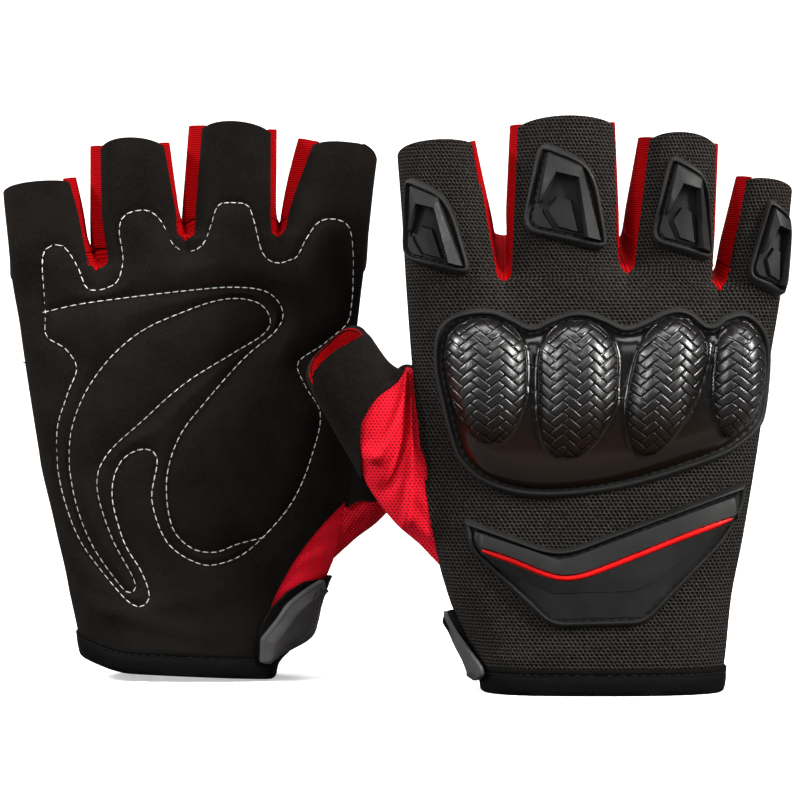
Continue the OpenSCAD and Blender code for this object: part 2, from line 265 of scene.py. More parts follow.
def finger_depth(finger, angle):
    """Distance of a finger's cloth from its middle plane: sewn at notches, wrapped at outer sides."""
    crown = CROWN_DEPTH[finger]
    seam = math.cos(SEAM_ANGLE)
    seamed = SEAM_DEPTH + (crown - SEAM_DEPTH) * (np.cos(angle) - seam) / (1 - seam)
    wrapped = crown * np.maximum(0, np.cos(angle)) ** 0.75
    if finger == 0:
        return np.where(angle < 0, wrapped, seamed)
    if finger == 3:
        return np.where(angle > 0, wrapped, seamed)
    return seamed


def blend_up(side, x, z):
    """0 on the hand, 1 on the fingers."""
    webs = np.array(WEBS[side])
    web = np.interp(x, webs[:, 0], webs[:, 1])
    return ramp(z, web - 10, web + 5)


def finger_column(side, finger, z):
    """Middle and half width of the round that a finger's cloth follows."""
    left, right = finger_limits(side, finger, z)
    first, last = arc_of(finger)
    half = (right - left) / (math.sin(last) - math.sin(first))
    return left - half * math.sin(first), half


def cloth_at(side, finger, u, z):
    """x and depth of the cloth at a share u across a finger's column."""
    centre, half = finger_column(side, finger, z)
    angle = lerp(*arc_of(finger), u)
    x = centre + half * np.sin(angle)
    return x, lerp(hand_depth(side, x, z), finger_depth(finger, angle), blend_up(side, x, z))


def surface(side, x, z):
    """Depth of the cloth at any (x, z) that it covers."""
    x, z = np.broadcast_arrays(np.asarray(x, float), np.asarray(z, float))
    depth = hand_depth(side, x, z)
    for finger in range(4):
        left, right = finger_limits(side, finger, z)
        centre, half = finger_column(side, finger, z)
        angle = np.arcsin(np.clip((x - centre) / half, *np.sin(arc_of(finger))))
        here = (x >= left - SEAM_REACH) & (x <= right + SEAM_REACH)
        column = lerp(hand_depth(side, x, z), finger_depth(finger, angle), blend_up(side, x, z))
        depth = np.where(here, column, depth)
    return depth


def lay(side, x, z, height):
    """Points at a height above the cloth, along its normal."""
    step = 0.4
    depth = surface(side, x, z)
    slope_x = (surface(side, x + step, z) - surface(side, x - step, z)) / (2 * step)
    slope_z = (surface(side, x, z + step) - surface(side, x, z - step)) / (2 * step)
    slope_x = np.clip(slope_x, -1.6, 1.6)
    slope_z = np.clip(slope_z, -0.6, 0.6)
    size = np.sqrt(slope_x ** 2 + slope_z ** 2 + 1)
    lifted = side * (depth + height / size)
    return np.stack([x - height * slope_x / size, lifted, z - height * slope_z / size], -1)


# ---------------------------------------------------------------- meshes

def normals_of(grid):
    """Unit normals of a grid of points, from its two directions."""
    n = np.cross(np.gradient(grid, axis=0), np.gradient(grid, axis=1))
    return n / np.maximum(np.linalg.norm(n, axis=-1, keepdims=True), 1e-9)


def facing(grid, axis, way):
    """Normals of a sheet, turned so that together they point along one axis."""
    normal = normals_of(grid)
    return normal * (np.sign(way * np.sum(normal[..., axis])) or 1)


def chart(across, along):
    """Weave coordinates of a grid of points, from its two directions."""
    return np.stack(np.broadcast_arrays(across, along), -1)


def raised(side, grid, height, lay_on):
    """Points at a height above each (x, z) of a grid; the height is one number or one for each point."""
    height = np.broadcast_to(np.asarray(height, float), grid.shape[:-1])
    return lay_on(side, grid[..., 0], grid[..., 1], height)


def make_mesh(name, points, faces, weave=None, sharp=50):
    """Mesh with rest coordinates for its material; weave has one (u, v) in millimetres per face corner."""
    data = bpy.data.meshes.new(name)
    data.from_pydata(points.tolist(), [], faces.tolist() if isinstance(faces, np.ndarray) else faces)
    data.update()
    rest = data.attributes.new("rest", "FLOAT_VECTOR", "POINT")
    rest.data.foreach_set("vector", points.astype(np.float32).ravel())
    corners = data.attributes.new("weave", "FLOAT_VECTOR", "CORNER")
    if weave is None:
        index = np.zeros(len(data.loops), np.int32)
        data.loops.foreach_get("vertex_index", index)
        weave = points[index][:, [0, 2]]
    flat = np.zeros((len(weave), 3), np.float32)
    flat[:, :2] = weave
    corners.data.foreach_set("vector", flat.ravel())
    data.polygons.foreach_set("use_smooth", [True] * len(data.polygons))
    if sharp:
        data.set_sharp_from_angle(angle=math.radians(sharp))
    return data


def grid_faces(index):
    """Quads between the neighbours of a grid of point numbers."""
    return np.stack([index[:-1, :-1], index[:-1, 1:], index[1:, 1:], index[1:, :-1]], -1).reshape(-1, 4)


def volume_of(points, faces):
    """Six times the volume inside the faces; negative when they face inwards."""
    total = 0.0
    for k in range(1, faces.shape[1] - 1):
        a, b, c = points[faces[:, 0]], points[faces[:, k]], points[faces[:, k + 1]]
        total += np.einsum("ij,ij->", a, np.cross(b, c))
    return total


def shell_faces(nu, nv, ring=False):
    """Faces of a closed sheet between two grids, and the grid cell that each face corner belongs to."""
    count = nu * nv
    index = np.arange(count).reshape(nu, nv)
    cells = np.arange((nu + ring) * nv).reshape(nu + ring, nv)
    if ring:
        index = np.vstack([index, index[:1]])

    def edge(a, b):
        return np.stack([a[1:], a[:-1], b[:-1], b[1:]], -1)

    order = [0, 3, 2, 1]
    top, top_cell = grid_faces(index)[:, order], grid_faces(cells)[:, order]
    faces = [top, top[:, ::-1] + count]
    corners = [top_cell, top_cell[:, ::-1]]
    rims = [(index[:, 0], cells[:, 0], 1), (index[:, -1], cells[:, -1], -1)]
    if not ring:
        rims += [(index[0], cells[0], -1), (index[-1], cells[-1], 1)]
    for rim, cell, turn in rims:
        faces.append(edge(rim[::turn], rim[::turn] + count))
        corners.append(edge(cell[::turn], cell[::turn]))
    return np.vstack(faces), np.vstack(corners)


def shell(name, outer, inner, weave=None, ring=False, sharp=50):
    """Closed sheet between two grids of points; ring closes it round the first direction."""
    points = np.vstack([outer.reshape(-1, 3), inner.reshape(-1, 3)])
    faces, corners = shell_faces(*outer.shape[:2], ring)
    if volume_of(points, faces) < 0:
        faces, corners = faces[:, ::-1], corners[:, ::-1]
    if weave is not None:
        weave = weave.reshape(-1, 2)[corners.ravel()]
    return make_mesh(name, points, faces, weave, sharp)


def tiles(name, tops, bottoms):
    """Many small closed sheets in one mesh; the arrays have one grid of points per tile."""
    count, nu, nv = tops.shape[:3]
    points = np.concatenate([tops.reshape(count, -1, 3), bottoms.reshape(count, -1, 3)], 1).reshape(-1, 3)
    faces = shell_faces(nu, nv)[0]
    all_faces = (np.arange(count)[:, None, None] * 2 * nu * nv + faces).reshape(-1, 4)
    if volume_of(points, all_faces) < 0:
        all_faces = all_faces[:, ::-1]
    return make_mesh(name, points, all_faces, None, None)


DEEP = 20                               # inset added from a plate's last ring to its middle


def plate(name, outline, insets, relief, side, lay_on=lay, fill=14, floor=-0.3, middle=None, sharp=35):
    """Closed moulding on the cloth: rings inside an (x, z) outline, raised by relief(x, z, inset)."""
    n = len(outline)
    inward = inward_of(outline, middle)
    centre = outline.mean(0) if middle is None else np.array(middle, float)
    rings = [outline + inward * inset for inset in insets]
    depths = list(insets)
    last = rings[-1]
    for k in range(1, fill):
        rings.append(centre + (last - centre) * (1 - k / fill))
        depths.append(insets[-1] + DEEP * k / fill)
    m = len(rings)
    flat = np.vstack([np.concatenate(rings), centre])
    inset = np.repeat(depths + depths[-1:], [n] * m + [1])
    upper = raised(side, flat, relief(flat[:, 0], flat[:, 1], inset), lay_on)
    lower = raised(side, flat, floor, lay_on)
    points = np.vstack([upper[:-1], lower[:-1], upper[-1:], lower[-1:]])
    index = np.arange(m * n).reshape(m, n)
    index = np.hstack([index, index[:, :1]])
    quads = grid_faces(index)
    wall = np.stack([index[0, 1:], index[0, :-1], index[0, :-1] + m * n, index[0, 1:] + m * n], -1)
    faces = np.vstack([quads, quads[:, ::-1] + m * n, wall])
    turn = -1 if volume_of(points, faces) < 0 else 1
    faces = faces[:, ::turn]
    rim = index[-1]
    fans = []
    for a, b in zip(rim[:-1], rim[1:]):
        fans.append((a, b, 2 * m * n)[::turn])
        fans.append((b + m * n, a + m * n, 2 * m * n + 1)[::turn])
    return make_mesh(name, points, faces.tolist() + fans, None, sharp)


def capsules(name, centres, along, out, length, width, height):
    """Short rounded stitches; each has a centre, a direction and a normal."""
    sides, bands = 6, 4
    unit = [(-1, 0, 0)]
    for p in np.linspace(0, math.pi, bands + 1)[1:-1]:
        for t in np.linspace(0, 2 * math.pi, sides, endpoint=False):
            unit.append((-math.cos(p), math.sin(p) * math.cos(t), math.sin(p) * math.sin(t)))
    unit.append((1, 0, 0))
    faces = []
    for s in range(sides):
        faces.append((0, 1 + (s + 1) % sides, 1 + s))
        for b in range(bands - 2):
            a = 1 + b * sides
            faces.append((a + s, a + (s + 1) % sides, a + sides + (s + 1) % sides, a + sides + s))
        a = 1 + (bands - 2) * sides
        faces.append((a + s, a + (s + 1) % sides, len(unit) - 1))
    along = along / np.linalg.norm(along, axis=1, keepdims=True)
    out = out - along * np.sum(along * out, 1, keepdims=True)
    out /= np.linalg.norm(out, axis=1, keepdims=True)
    across = np.cross(along, out)
    local = np.array(unit) * (length / 2, width / 2, height / 2)
    points, all_faces = [], []
    for c, a, w, o in zip(centres, along, across, out):
        base = len(points) * len(unit)
        points.append(c + local[:, :1] * a + local[:, 1:2] * w + local[:, 2:] * o)
        all_faces += [tuple(base + v for v in f) for f in faces]
    return make_mesh(name, np.vstack(points), all_faces, None, None)


def stitches(name, path, side, height, pitch=2.3, length=1.9, width=0.29, thick=0.3, closed=False,
             lay_on=lay, keep=None):
    """A row of stitches along an (x, z) path on the cloth; keep(x, z) picks some of them."""
    spots = resample(path, pitch, closed)
    if keep is not None:
        spots = spots[keep(spots[:, 0], spots[:, 1])]
    if len(spots) < 2:
        return None
    ahead = resample(path, pitch / 8, closed)
    nearest = np.argmin(np.sum((ahead[None] - spots[:, None]) ** 2, 2), 1)
    count = len(ahead)
    after = ahead[(nearest + 1) % count if closed else np.minimum(nearest + 1, count - 1)]
    before = ahead[nearest - 1 if closed else np.maximum(nearest - 1, 0)]
    centre = raised(side, spots, height, lay_on)
    out = raised(side, spots, height + 1, lay_on) - centre
    along = raised(side, after, height, lay_on) - raised(side, before, height, lay_on)
    return capsules(name, centre, along, out, length, width, thick)


def tube(name, path, radius, out, sides, flat=1.0, closed=False):
    """Round or flattened cord along a 3-D path; out has the way outwards at each of its points."""
    step = (np.roll(path, -1, 0) - np.roll(path, 1, 0)) if closed else np.gradient(path, axis=0)
    step /= np.linalg.norm(step, axis=1, keepdims=True)
    out = out - step * np.sum(out * step, 1, keepdims=True)
    out /= np.linalg.norm(out, axis=1, keepdims=True)
    wide = np.cross(step, out)
    theta = np.linspace(0, 2 * math.pi, sides, endpoint=False)
    sideways = np.cos(theta)[None, :, None] * wide[:, None]
    outwards = flat * np.sin(theta)[None, :, None] * out[:, None]
    ring = path[:, None] + radius * (sideways + outwards)
    n, m = ring.shape[:2]
    index = np.arange(n * m).reshape(n, m)
    index = np.hstack([index, index[:, :1]])
    if closed:
        index = np.vstack([index, index[:1]])
    faces = grid_faces(index)
    points = ring.reshape(-1, 3)
    if volume_of(points, faces) < 0:
        faces = faces[:, ::-1]
    caps = [] if closed else [tuple(range(m)), tuple(range((n - 1) * m, n * m))[::-1]]
    return make_mesh(name, points, faces.tolist() + caps, None, 60)


def ridge(name, lines, heights, lay_on, floor=0.2, steps=7):
    """Solid on the back whose top passes through (x, z) lines, each at its own height; their keys match."""
    keys = np.array(lines, float)
    places = np.arange(keys.shape[1])
    t = np.linspace(0, places[-1], places[-1] * steps + 1)
    rows = [np.stack([np.interp(t, places, line[:, k]) for k in (0, 1)], -1) for line in keys]
    grid = np.stack(rows, 1)
    return shell(name, raised(BACK, grid, heights, lay_on), raised(BACK, grid, floor, lay_on), sharp=22)


def gem(name, corners, inset, low, high, lay_on, floor=0.2, steps=5):
    """Flat-topped stud with sloping sides, on a convex base on the back."""
    base = np.array(corners, float)
    edges = np.roll(base, -1, 0) - base
    t = np.linspace(0, 1, steps, endpoint=False)[None, :, None]
    ring = (base[:, None] + edges[:, None] * t).reshape(-1, 2)
    middle = base.mean(0)
    share = 1 - inset / np.abs(base - middle).max(0)
    grid = np.stack([middle + (ring - middle) * size for size in (1, share, share * 0.5, 0.02)], 1)
    top = raised(BACK, grid, (low, high, high, high), lay_on)
    return shell(name, top, raised(BACK, grid, floor, lay_on), ring=True, sharp=25)


def rim_ring(name, outline, insets, relief):
    """Moulded edge on the back that follows a closed (x, z) outline, on its inner side."""
    inset = np.array(insets)[None, :] * np.ones((len(outline), 1))
    flat = outline[:, None] + inward_of(outline)[:, None] * inset[..., None]
    return shell(name, raised(BACK, flat, relief(inset), lay), raised(BACK, flat, -0.3, lay), ring=True)


# ---------------------------------------------------------------- materials

class Paint:
    """A few short calls for building a node material."""

    def __init__(self, name):
        self.material = bpy.data.materials.new(name)
        self.material.use_nodes = True
        self.tree = self.material.node_tree
        self.shader = self.tree.nodes["Principled BSDF"]
        self.rest = self.coordinate("rest")
        self.weave = self.coordinate("weave")

    def node(self, kind, **values):
        node = self.tree.nodes.new(kind)
        for key, value in values.items():
            setattr(node, key, value)
        return node

    def link(self, value, socket):
        if isinstance(value, bpy.types.NodeSocket):
            self.tree.links.new(value, socket)
        else:
            socket.default_value = value

    def coordinate(self, name):
        return self.node("ShaderNodeAttribute", attribute_name=name).outputs["Vector"]

    def math(self, operation, a, b=0.0):
        node = self.node("ShaderNodeMath", operation=operation)
        self.link(0.0, node.inputs[2])
        for value, socket in zip((a, b), node.inputs):
            self.link(value, socket)
        return node.outputs[0]

    def wave(self, value, length, low=-1.0, high=1.0, to_low=0.0):
        """Smooth stripes, one for each length."""
        turns = self.math("MULTIPLY", value, 2 * math.pi / length)
        return self.span(self.math("SINE", turns), low, high, to_low)

    def axis(self, vector, name):
        node = self.node("ShaderNodeSeparateXYZ")
        self.link(vector, node.inputs[0])
        return node.outputs[name]

    def span(self, value, low, high, to_low=0.0, to_high=1.0):
        node = self.node("ShaderNodeMapRange", interpolation_type="SMOOTHSTEP")
        for number, socket in zip((value, low, high, to_low, to_high), node.inputs):
            self.link(number, socket)
        return node.outputs[0]

    def noise(self, scale, detail=3.0, roughness=0.55, stretch=None):
        vector = self.rest
        if stretch:
            mapping = self.node("ShaderNodeMapping")
            self.link(vector, mapping.inputs[0])
            mapping.inputs["Scale"].default_value = stretch
            vector = mapping.outputs[0]
        node = self.node("ShaderNodeTexNoise")
        self.link(vector, node.inputs["Vector"])
        node.inputs["Scale"].default_value = scale
        node.inputs["Detail"].default_value = detail
        node.inputs["Roughness"].default_value = roughness
        return node.outputs["Fac"]

    def mix(self, share, a, b):
        node = self.node("ShaderNodeMix", data_type="RGBA")
        self.link(share, node.inputs["Factor"])
        for value, key in ((a, 6), (b, 7)):
            self.link((*value, 1.0) if isinstance(value, tuple) else value, node.inputs[key])
        return node.outputs[2]

    def bump(self, height, distance, strength=1.0, normal=None):
        node = self.node("ShaderNodeBump")
        self.link(height, node.inputs["Height"])
        node.inputs["Distance"].default_value = distance * MM
        node.inputs["Strength"].default_value = strength
        if normal is not None:
            self.link(normal, node.inputs["Normal"])
        return node.outputs[0]

    def set(self, **values):
        names = {"color": "Base Color", "rough": "Roughness", "normal": "Normal", "sheen": "Sheen Weight",
                 "sheen_rough": "Sheen Roughness", "sheen_tint": "Sheen Tint",
                 "specular": "Specular IOR Level"}
        for key, value in values.items():
            value = (*value, 1.0) if isinstance(value, tuple) and len(value) == 3 else value
            self.link(value, self.shader.inputs[names[key]])
        return self.material


RED_TINT = (1.0, 0.1, 0.1)


def grey(level, warm=0.0):
    return (level * (1 + warm), level, level * (1 - warm))


def knit(paint, pitch_x, pitch_z, hole):
    """Height of a staggered net of yarn: low in the holes."""
    u = paint.math("DIVIDE", paint.axis(paint.weave, "X"), pitch_x)
    v = paint.math("DIVIDE", paint.axis(paint.weave, "Y"), pitch_z)
    wobble = paint.math("MULTIPLY", paint.math("SUBTRACT", paint.noise(0.35, 1.0), 0.5), 0.5)
    u = paint.math("ADD", u, wobble)
    row = paint.math("FLOOR", v)
    shift = paint.math("MULTIPLY", paint.math("MODULO", row, 2.0), 0.5)
    across = paint.math("SUBTRACT", paint.math("FRACT", paint.math("ADD", u, shift)), 0.5)
    up = paint.math("SUBTRACT", paint.math("FRACT", v), 0.5)
    lean = paint.math("ADD", across, paint.math("MULTIPLY", up, 0.3))
    flat = paint.math("MULTIPLY", paint.math("POWER", paint.math("ABSOLUTE", up), 2.0), 0.9)
    wide = paint.math("POWER", paint.math("ABSOLUTE", lean), 2.0)
    reach = paint.math("SQRT", paint.math("ADD", wide, flat))
    return paint.span(reach, hole * 0.25, hole * 1.3)


def black_mesh():
    """Coarse black net of the back, a little dusty."""
    p = Paint("black_mesh")
    net = knit(p, 1.2, 0.95, 0.5)
    patch = p.noise(0.05, 2.0)
    fibre = p.noise(3.2, 3.0, 0.7)
    light = p.math("MULTIPLY", net, p.span(fibre, 0.34, 0.66, 0.15, 1.5))
    color = p.mix(light, (0.0002, 0.0002, 0.0001), (0.0430, 0.0374, 0.0336))
    color = p.mix(p.span(patch, 0.3, 0.7, 0.0, 0.2), color, (0.0045, 0.0036, 0.0031))
    normal = p.bump(net, 0.4, 0.9)
    return p.set(color=color, rough=0.85, normal=normal, sheen=0.006, sheen_rough=0.4, specular=0.05)


def suede():
    """Black synthetic suede with an uneven nap."""
    p = Paint("black_suede")
    nap = p.noise(2.4, 6.0, 0.7)
    patch = p.noise(0.07, 4.0, 0.6)
    color = p.mix(p.span(nap, 0.3, 0.75), (0.0018, 0.0014, 0.0011), (0.0104, 0.0084, 0.0070))
    color = p.mix(p.span(patch, 0.35, 0.7, 0.0, 0.55), color, (0.0100, 0.0082, 0.0070))
    fuzz = p.bump(nap, 0.16, 0.7)
    normal = p.bump(p.noise(0.35, 3.0), 0.7, 0.45, fuzz)
    return p.set(color=color, rough=0.95, normal=normal, sheen=0.012, sheen_rough=0.45,
                 sheen_tint=(0.75, 0.7, 0.66), specular=0.04)


def red_rib():
    """Red cloth with fine ribs across the side walls."""
    p = Paint("red_ribbed_cloth")
    rib = p.wave(p.axis(p.weave, "Y"), 0.62, -0.9, 0.9)
    across = p.wave(p.axis(p.weave, "X"), 0.45, to_low=0.75)
    height = p.math("MULTIPLY", rib, across)
    color = p.mix(height, (0.15, 0.0001, 0.0006), (0.36, 0.0004, 0.002))
    return p.set(color=color, rough=0.8, normal=p.bump(height, 0.18, 0.8), sheen=0.02, sheen_tint=RED_TINT,
                 specular=0.03)


def red_mesh(name, pitch, low, high):
    """Red net, from its holes (low) to its yarn (high)."""
    p = Paint(name)
    loops = knit(p, pitch, pitch * 0.76, 0.3)
    color = p.mix(loops, (low, low * 0.004, low * 0.02), (high, high * 0.012, high * 0.034))
    worn = p.span(p.noise(0.12, 3.0), 0.35, 0.75, 0.0, 0.3)
    color = p.mix(worn, color, (high * 0.72, high * 0.005, high * 0.014))
    normal = p.bump(loops, 0.22, 0.8)
    return p.set(color=color, rough=0.82, normal=normal, sheen=0.05, sheen_tint=RED_TINT, specular=0.06)


def tape(name, level, pitch=0.5):
    """Worn twill tape."""
    p = Paint(name)
    slant = p.math("ADD", p.axis(p.weave, "X"), p.math("MULTIPLY", p.axis(p.weave, "Y"), 0.8))
    twill = p.wave(slant, pitch)
    wear = p.noise(0.25, 4.0)
    color = p.mix(twill, grey(level * 0.55, 0.06), grey(level * 1.2, 0.06))
    color = p.mix(p.span(wear, 0.45, 0.8, 0.0, 0.5), color, grey(level * 1.5, 0.05))
    normal = p.bump(twill, 0.07, 0.6, p.bump(wear, 0.6, 0.3))
    return p.set(color=color, rough=0.66, normal=normal, sheen=0.002, specular=0.03)


def rubber(name, level, rough=0.52, colors=None):
    """Matte rubber of a grey level, or between two colours."""
    p = Paint(name)
    grain = p.noise(3.5, 4.0, 0.6)
    patch = p.noise(0.12, 3.0)
    dark, light = colors or (grey(level * 0.82, 0.02), grey(level * 1.15, 0.02))
    color = p.mix(p.span(patch, 0.3, 0.75), dark, light)
    shine = p.span(p.noise(0.3, 4.0), 0.3, 0.7, rough - 0.06, rough + 0.08)
    return p.set(color=color, rough=shine, normal=p.bump(grain, 0.035, 0.55), specular=0.15)


def painted_reflection_below(paint, low, high, dark, warm):
    """A colour that turns warmer towards the bottom of the guard, as a painted reflection of a dark brown
    surround.
    """
    return paint.mix(paint.span(paint.axis(paint.rest, "Z"), low, high), warm, dark)


def gloss_shell():
    """Polished shell of the knuckle guard, with faint waves; warm brown towards the bottom as a painted
    reflection.
    """
    p = Paint("gloss_shell")
    # painted reflection: the colour turns warm brown towards the bottom of the guard
    color = painted_reflection_below(p, 62, 80, (0.0026, 0.0022, 0.0020), (0.0085, 0.0036, 0.0018))
    rough = p.span(p.noise(1.2, 5.0), 0.35, 0.75, 0.17, 0.25)
    return p.set(color=color, rough=rough, normal=p.bump(p.noise(0.5, 2.0), 0.02, 0.3), specular=0.3)


def braid_shell():
    """The braided domes: streaked along their strands; warm brown towards the bottom as a painted
    reflection, and less specular towards the bottom, which darkens their reflections there as painted
    shade.
    """
    p = Paint("braided_shell")
    streak = p.noise(2.6, 3.0, 0.5, stretch=(3.0, 1.0, 1.0))
    # painted reflection: the colour turns warm brown towards the bottom of the guard
    color = painted_reflection_below(p, 66, 80, (0.0040, 0.0034, 0.0032), (0.0070, 0.0032, 0.0016))
    rough = p.span(p.noise(1.1, 4.0), 0.3, 0.75, 0.27, 0.37)
    # painted shade of the reflections: the specular fades towards the bottom of the domes
    shine = p.span(p.axis(p.rest, "Z"), 68, 84, 0.10, 0.62)
    return p.set(color=color, rough=rough, normal=p.bump(streak, 0.03, 0.6), specular=shine)


def thread(name, color):
    """Two-ply thread."""
    p = Paint(name)
    twist = p.math("ADD", p.axis(p.rest, "X"), p.axis(p.rest, "Z"))
    ply = p.wave(twist, 0.55)
    dark = tuple(c * 0.55 for c in color)
    return p.set(color=p.mix(ply, dark, color), rough=0.6, normal=p.bump(ply, 0.1, 0.7), specular=0.12)


def pile(name, level, scale):
    """Tufted or open-celled stuff: brushed cloth, hook, loop, foam."""
    p = Paint(name)
    tuft = p.noise(scale, 5.0, 0.75)
    color = p.mix(p.span(tuft, 0.35, 0.7), grey(level * 0.4), grey(level * 1.6))
    return p.set(color=color, rough=0.9, normal=p.bump(tuft, 0.5, 1.0), sheen=0.4, specular=0.2)


MATERIAL = {
    "black_mesh": black_mesh(),
    "suede": suede(),
    "red_rib": red_rib(),
    "red_mesh": red_mesh("red_knitted_mesh", 1.05, 0.16, 0.66),
    # painted light: the gusset's own red net with a finer pitch, made lighter in colour to stand in for the
    # light on its tail
    "red_mesh_painted_light": red_mesh("red_net_painted_lighter", 0.8, 0.45, 0.98),
    "tape": tape("binding_tape", 0.0026),
    "strap": tape("strap_webbing", 0.0045, 0.9),
    "gloss": gloss_shell(),
    "braid": braid_shell(),
    "rubber": rubber("black_rubber", 0.0105),
    "rim": rubber("guard_rim", 0.011, 0.6),
    "pad_rubber": rubber("pad_rubber", 0.0125, 0.5),
    "tab_rubber": rubber("tab_rubber", 0.052, 0.55),
    "red_rubber": rubber("red_rubber", None, 0.4, ((0.56, 0.004, 0.004), (0.74, 0.007, 0.006))),
    "white_thread": thread("white_thread", (0.90, 0.88, 0.84)),
    "black_thread": thread("black_thread", (0.006, 0.0055, 0.005)),
    "lining": pile("brushed_lining", 0.020, 2.0),
    "hook": pile("hook_tape", 0.018, 3.2),
    "loop": pile("loop_tape", 0.022, 1.6),
    "foam": pile("foam", 0.22, 1.2),
}


# ---------------------------------------------------------------- putting pieces on the gloves

def finger_zone(finger):
    """Start and end of the stretch of cloth that bends at a finger's root."""
    tilt, height, length = ((35.7, 118.75, 14), (12, 111.25, 12))[finger == 3]
    tilt = math.radians(tilt)
    start = Vector((0, 0, height))
    return start, start + length * Vector((0, -math.sin(tilt), math.cos(tilt)))


ZONES = {name: finger_zone(k) for k, name in enumerate(FINGERS)}
ZONES["thumb"] = (Vector((-46, 0, 61)), Vector((-46, 0, 61)) + 14 * Vector((-0.99, 0, -0.137)))
ZONES["closure"] = (Vector((-40, -0.6, 15)), Vector((-40, 5.0, 15)))


# Glove A's fingers stand a little differently from glove B's: keys of (x, shift in x) at three heights,
# then keys of (x, rise of the fingertips)
shift_on_hand = profile(
    (-60, 5.1), (-45, 5.1), (-24, 1.5), (0, 0), (30, 0), (46, 1.9), (60, 2.2),
)
shift_at_webs = profile(
    (-60, 5.1), (-47, 5.1), (-24, 1.2), (8, -1.9), (33, -1.9), (50, 2.8), (60, 3.2),
)
shift_at_tips = profile(
    (-60, 4.8), (-52, 4.8), (-31.3, 5.2), (-22, 2.9), (0.9, 0), (10, -1.5), (28, -0.6), (38.3, -2),
    (53, 3.5), (60, 3.8),
)
rise_of_tips = profile(
    (-60, 9.5), (-54.5, 9), (-50, 5), (-46.5, 3.5), (-28, 3.2), (-20, 1.6), (5, 1.2), (12, 0),
    (30, 0), (38, -0.5), (54, -1.6), (60, -1.6),
)
TIP_RISE = (112, 140)                   # heights between which that rise comes in
# How far glove A's wrist is drawn in at its little finger's side: height, shift
draw_at_wrist = profile(
    (-5, 6.2), (0, 6.0), (10, 4.6), (20, 3.0), (30, 2.1), (42, 1.4), (56, 0), (70, 0), (200, 0),
)
WRIST_HALF = 37                         # half width of the wrist, where that shift is reached


def shift_a(x, z):
    """How far glove A is pushed to its little finger's side above the wrist."""
    low = shift_on_hand(x) * ramp(z, 50, 95)
    return lerp(lerp(low, shift_at_webs(x), ramp(z, 95, 112)), shift_at_tips(x), ramp(z, 112, 130))


def reshape(data, glove):
    """Gives a piece the set of one glove: A's spread of fingers, and the wrist drawn in by its strap."""
    points = np.zeros(len(data.vertices) * 3, np.float32)
    data.vertices.foreach_get("co", points)
    points = points.reshape(-1, 3)
    x, z = points[:, 0].copy(), points[:, 2].copy()
    if glove == "glove_a":
        little_side = draw_at_wrist(z) * x / WRIST_HALF
        strap_corner = 8 * ramp(-x, 24, 38) * (1 - ramp(z, 2, 13))
        thumb_side = 1.2 * (1 - ramp(z, 20, 44)) * x / WRIST_HALF - strap_corner
        points[:, 0] += shift_a(x, z) - np.where(x > 0, little_side, thumb_side)
        cuff_rise = 3.8 * ramp(x, 16, 40) * (1 - ramp(z, 8, 45))
        thumb_drop = 9 * ramp(-x, 48, 58) * ramp(z, 64, 98)
        points[:, 2] += rise_of_tips(x) * ramp(z, *TIP_RISE) + cuff_rise - thumb_drop
    else:
        points[:, 0] += 4 * ramp(-x, 18, 38) * (1 - ramp(z, 3, 27))
    data.vertices.foreach_set("co", points.ravel())


def place_object(name, data):
    """Links new data into the scene."""
    piece = bpy.data.objects.new(name, data)
    bpy.context.scene.collection.objects.link(piece)
    return piece


def add(name, data, paint, body="hand", bend=None, parts=(), gloves=GLOVES):
    """Copies a piece to each glove, in place of some CAD parts; a piece given a bend is left in the row's
    frame, not attached to a body, and the name in bend is not read.
    """
    if data is None:
        return
    data.materials.append(MATERIAL[paint])
    for glove in gloves:
        copy = data.copy()
        reshape(copy, glove)
        copy.transform(PLACE[glove])
        copy.name = f"{glove}_{name}_mesh"
        piece = place_object(f"{glove}_{name}", copy)
        if bend:
            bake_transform(piece)
        else:
            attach(piece, f"{glove}_{body}")
        for part in parts:
            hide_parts(f"{glove}_{part}")
    bpy.data.meshes.remove(data)


# ---------------------------------------------------------------- palm quilting

OUTLINE_STITCH = spline([
    (-43.2, 106), (-43.4, 117), (-42, 127), (-38, 129.6), (-33, 128.6), (-29.6, 123.5),
    (-27, 118.4), (-22, 116.6), (-17.8, 119), (-15, 127), (-13, 131.2), (-9, 131.9), (-4.5, 131),
    (-2.6, 126), (-0.6, 120.8), (3.6, 118.9), (7.5, 120.8), (11, 127), (15.3, 129.8), (21, 128.4),
    (22.9, 124), (21.6, 115), (23.5, 108.8), (30.8, 107.2), (34.5, 114), (38.5, 118.8), (43, 118),
    (44.4, 113), (43.2, 100), (42.4, 93.4), (36.5, 89.8), (33.1, 84.5), (35.6, 77), (38.2, 66),
    (36.4, 50), (31, 35), (20.5, 23.3), (13.8, 18.9), (10.2, 21.6), (12.6, 28.4), (18.2, 36.8),
    (21.6, 49), (19.2, 59), (13, 62.8), (8.9, 60), (10, 48.5), (5.5, 37.4), (-3, 32), (-10, 31.8),
    (-18.5, 36.4), (-29.2, 49.6), (-34.4, 64), (-35.9, 75), (-31.4, 82.6), (-29.2, 89), (-36, 94.5),
    (-41.9, 100.4),
], closed=True, steps=6)
CHANNEL_STITCH = spline([
    (43.2, 100.1), (33, 102.7), (20, 105), (2.7, 107.8), (-10, 109.3), (-19.4, 108.4), (-24, 103.6),
    (-22.6, 97.8), (-14, 89.6), (-4, 77.2), (3.1, 66.6), (6, 54.5), (4.2, 42), (-1.6, 36),
    (-8.5, 35), (-15, 37.6), (-21.4, 39.5),
], steps=8)
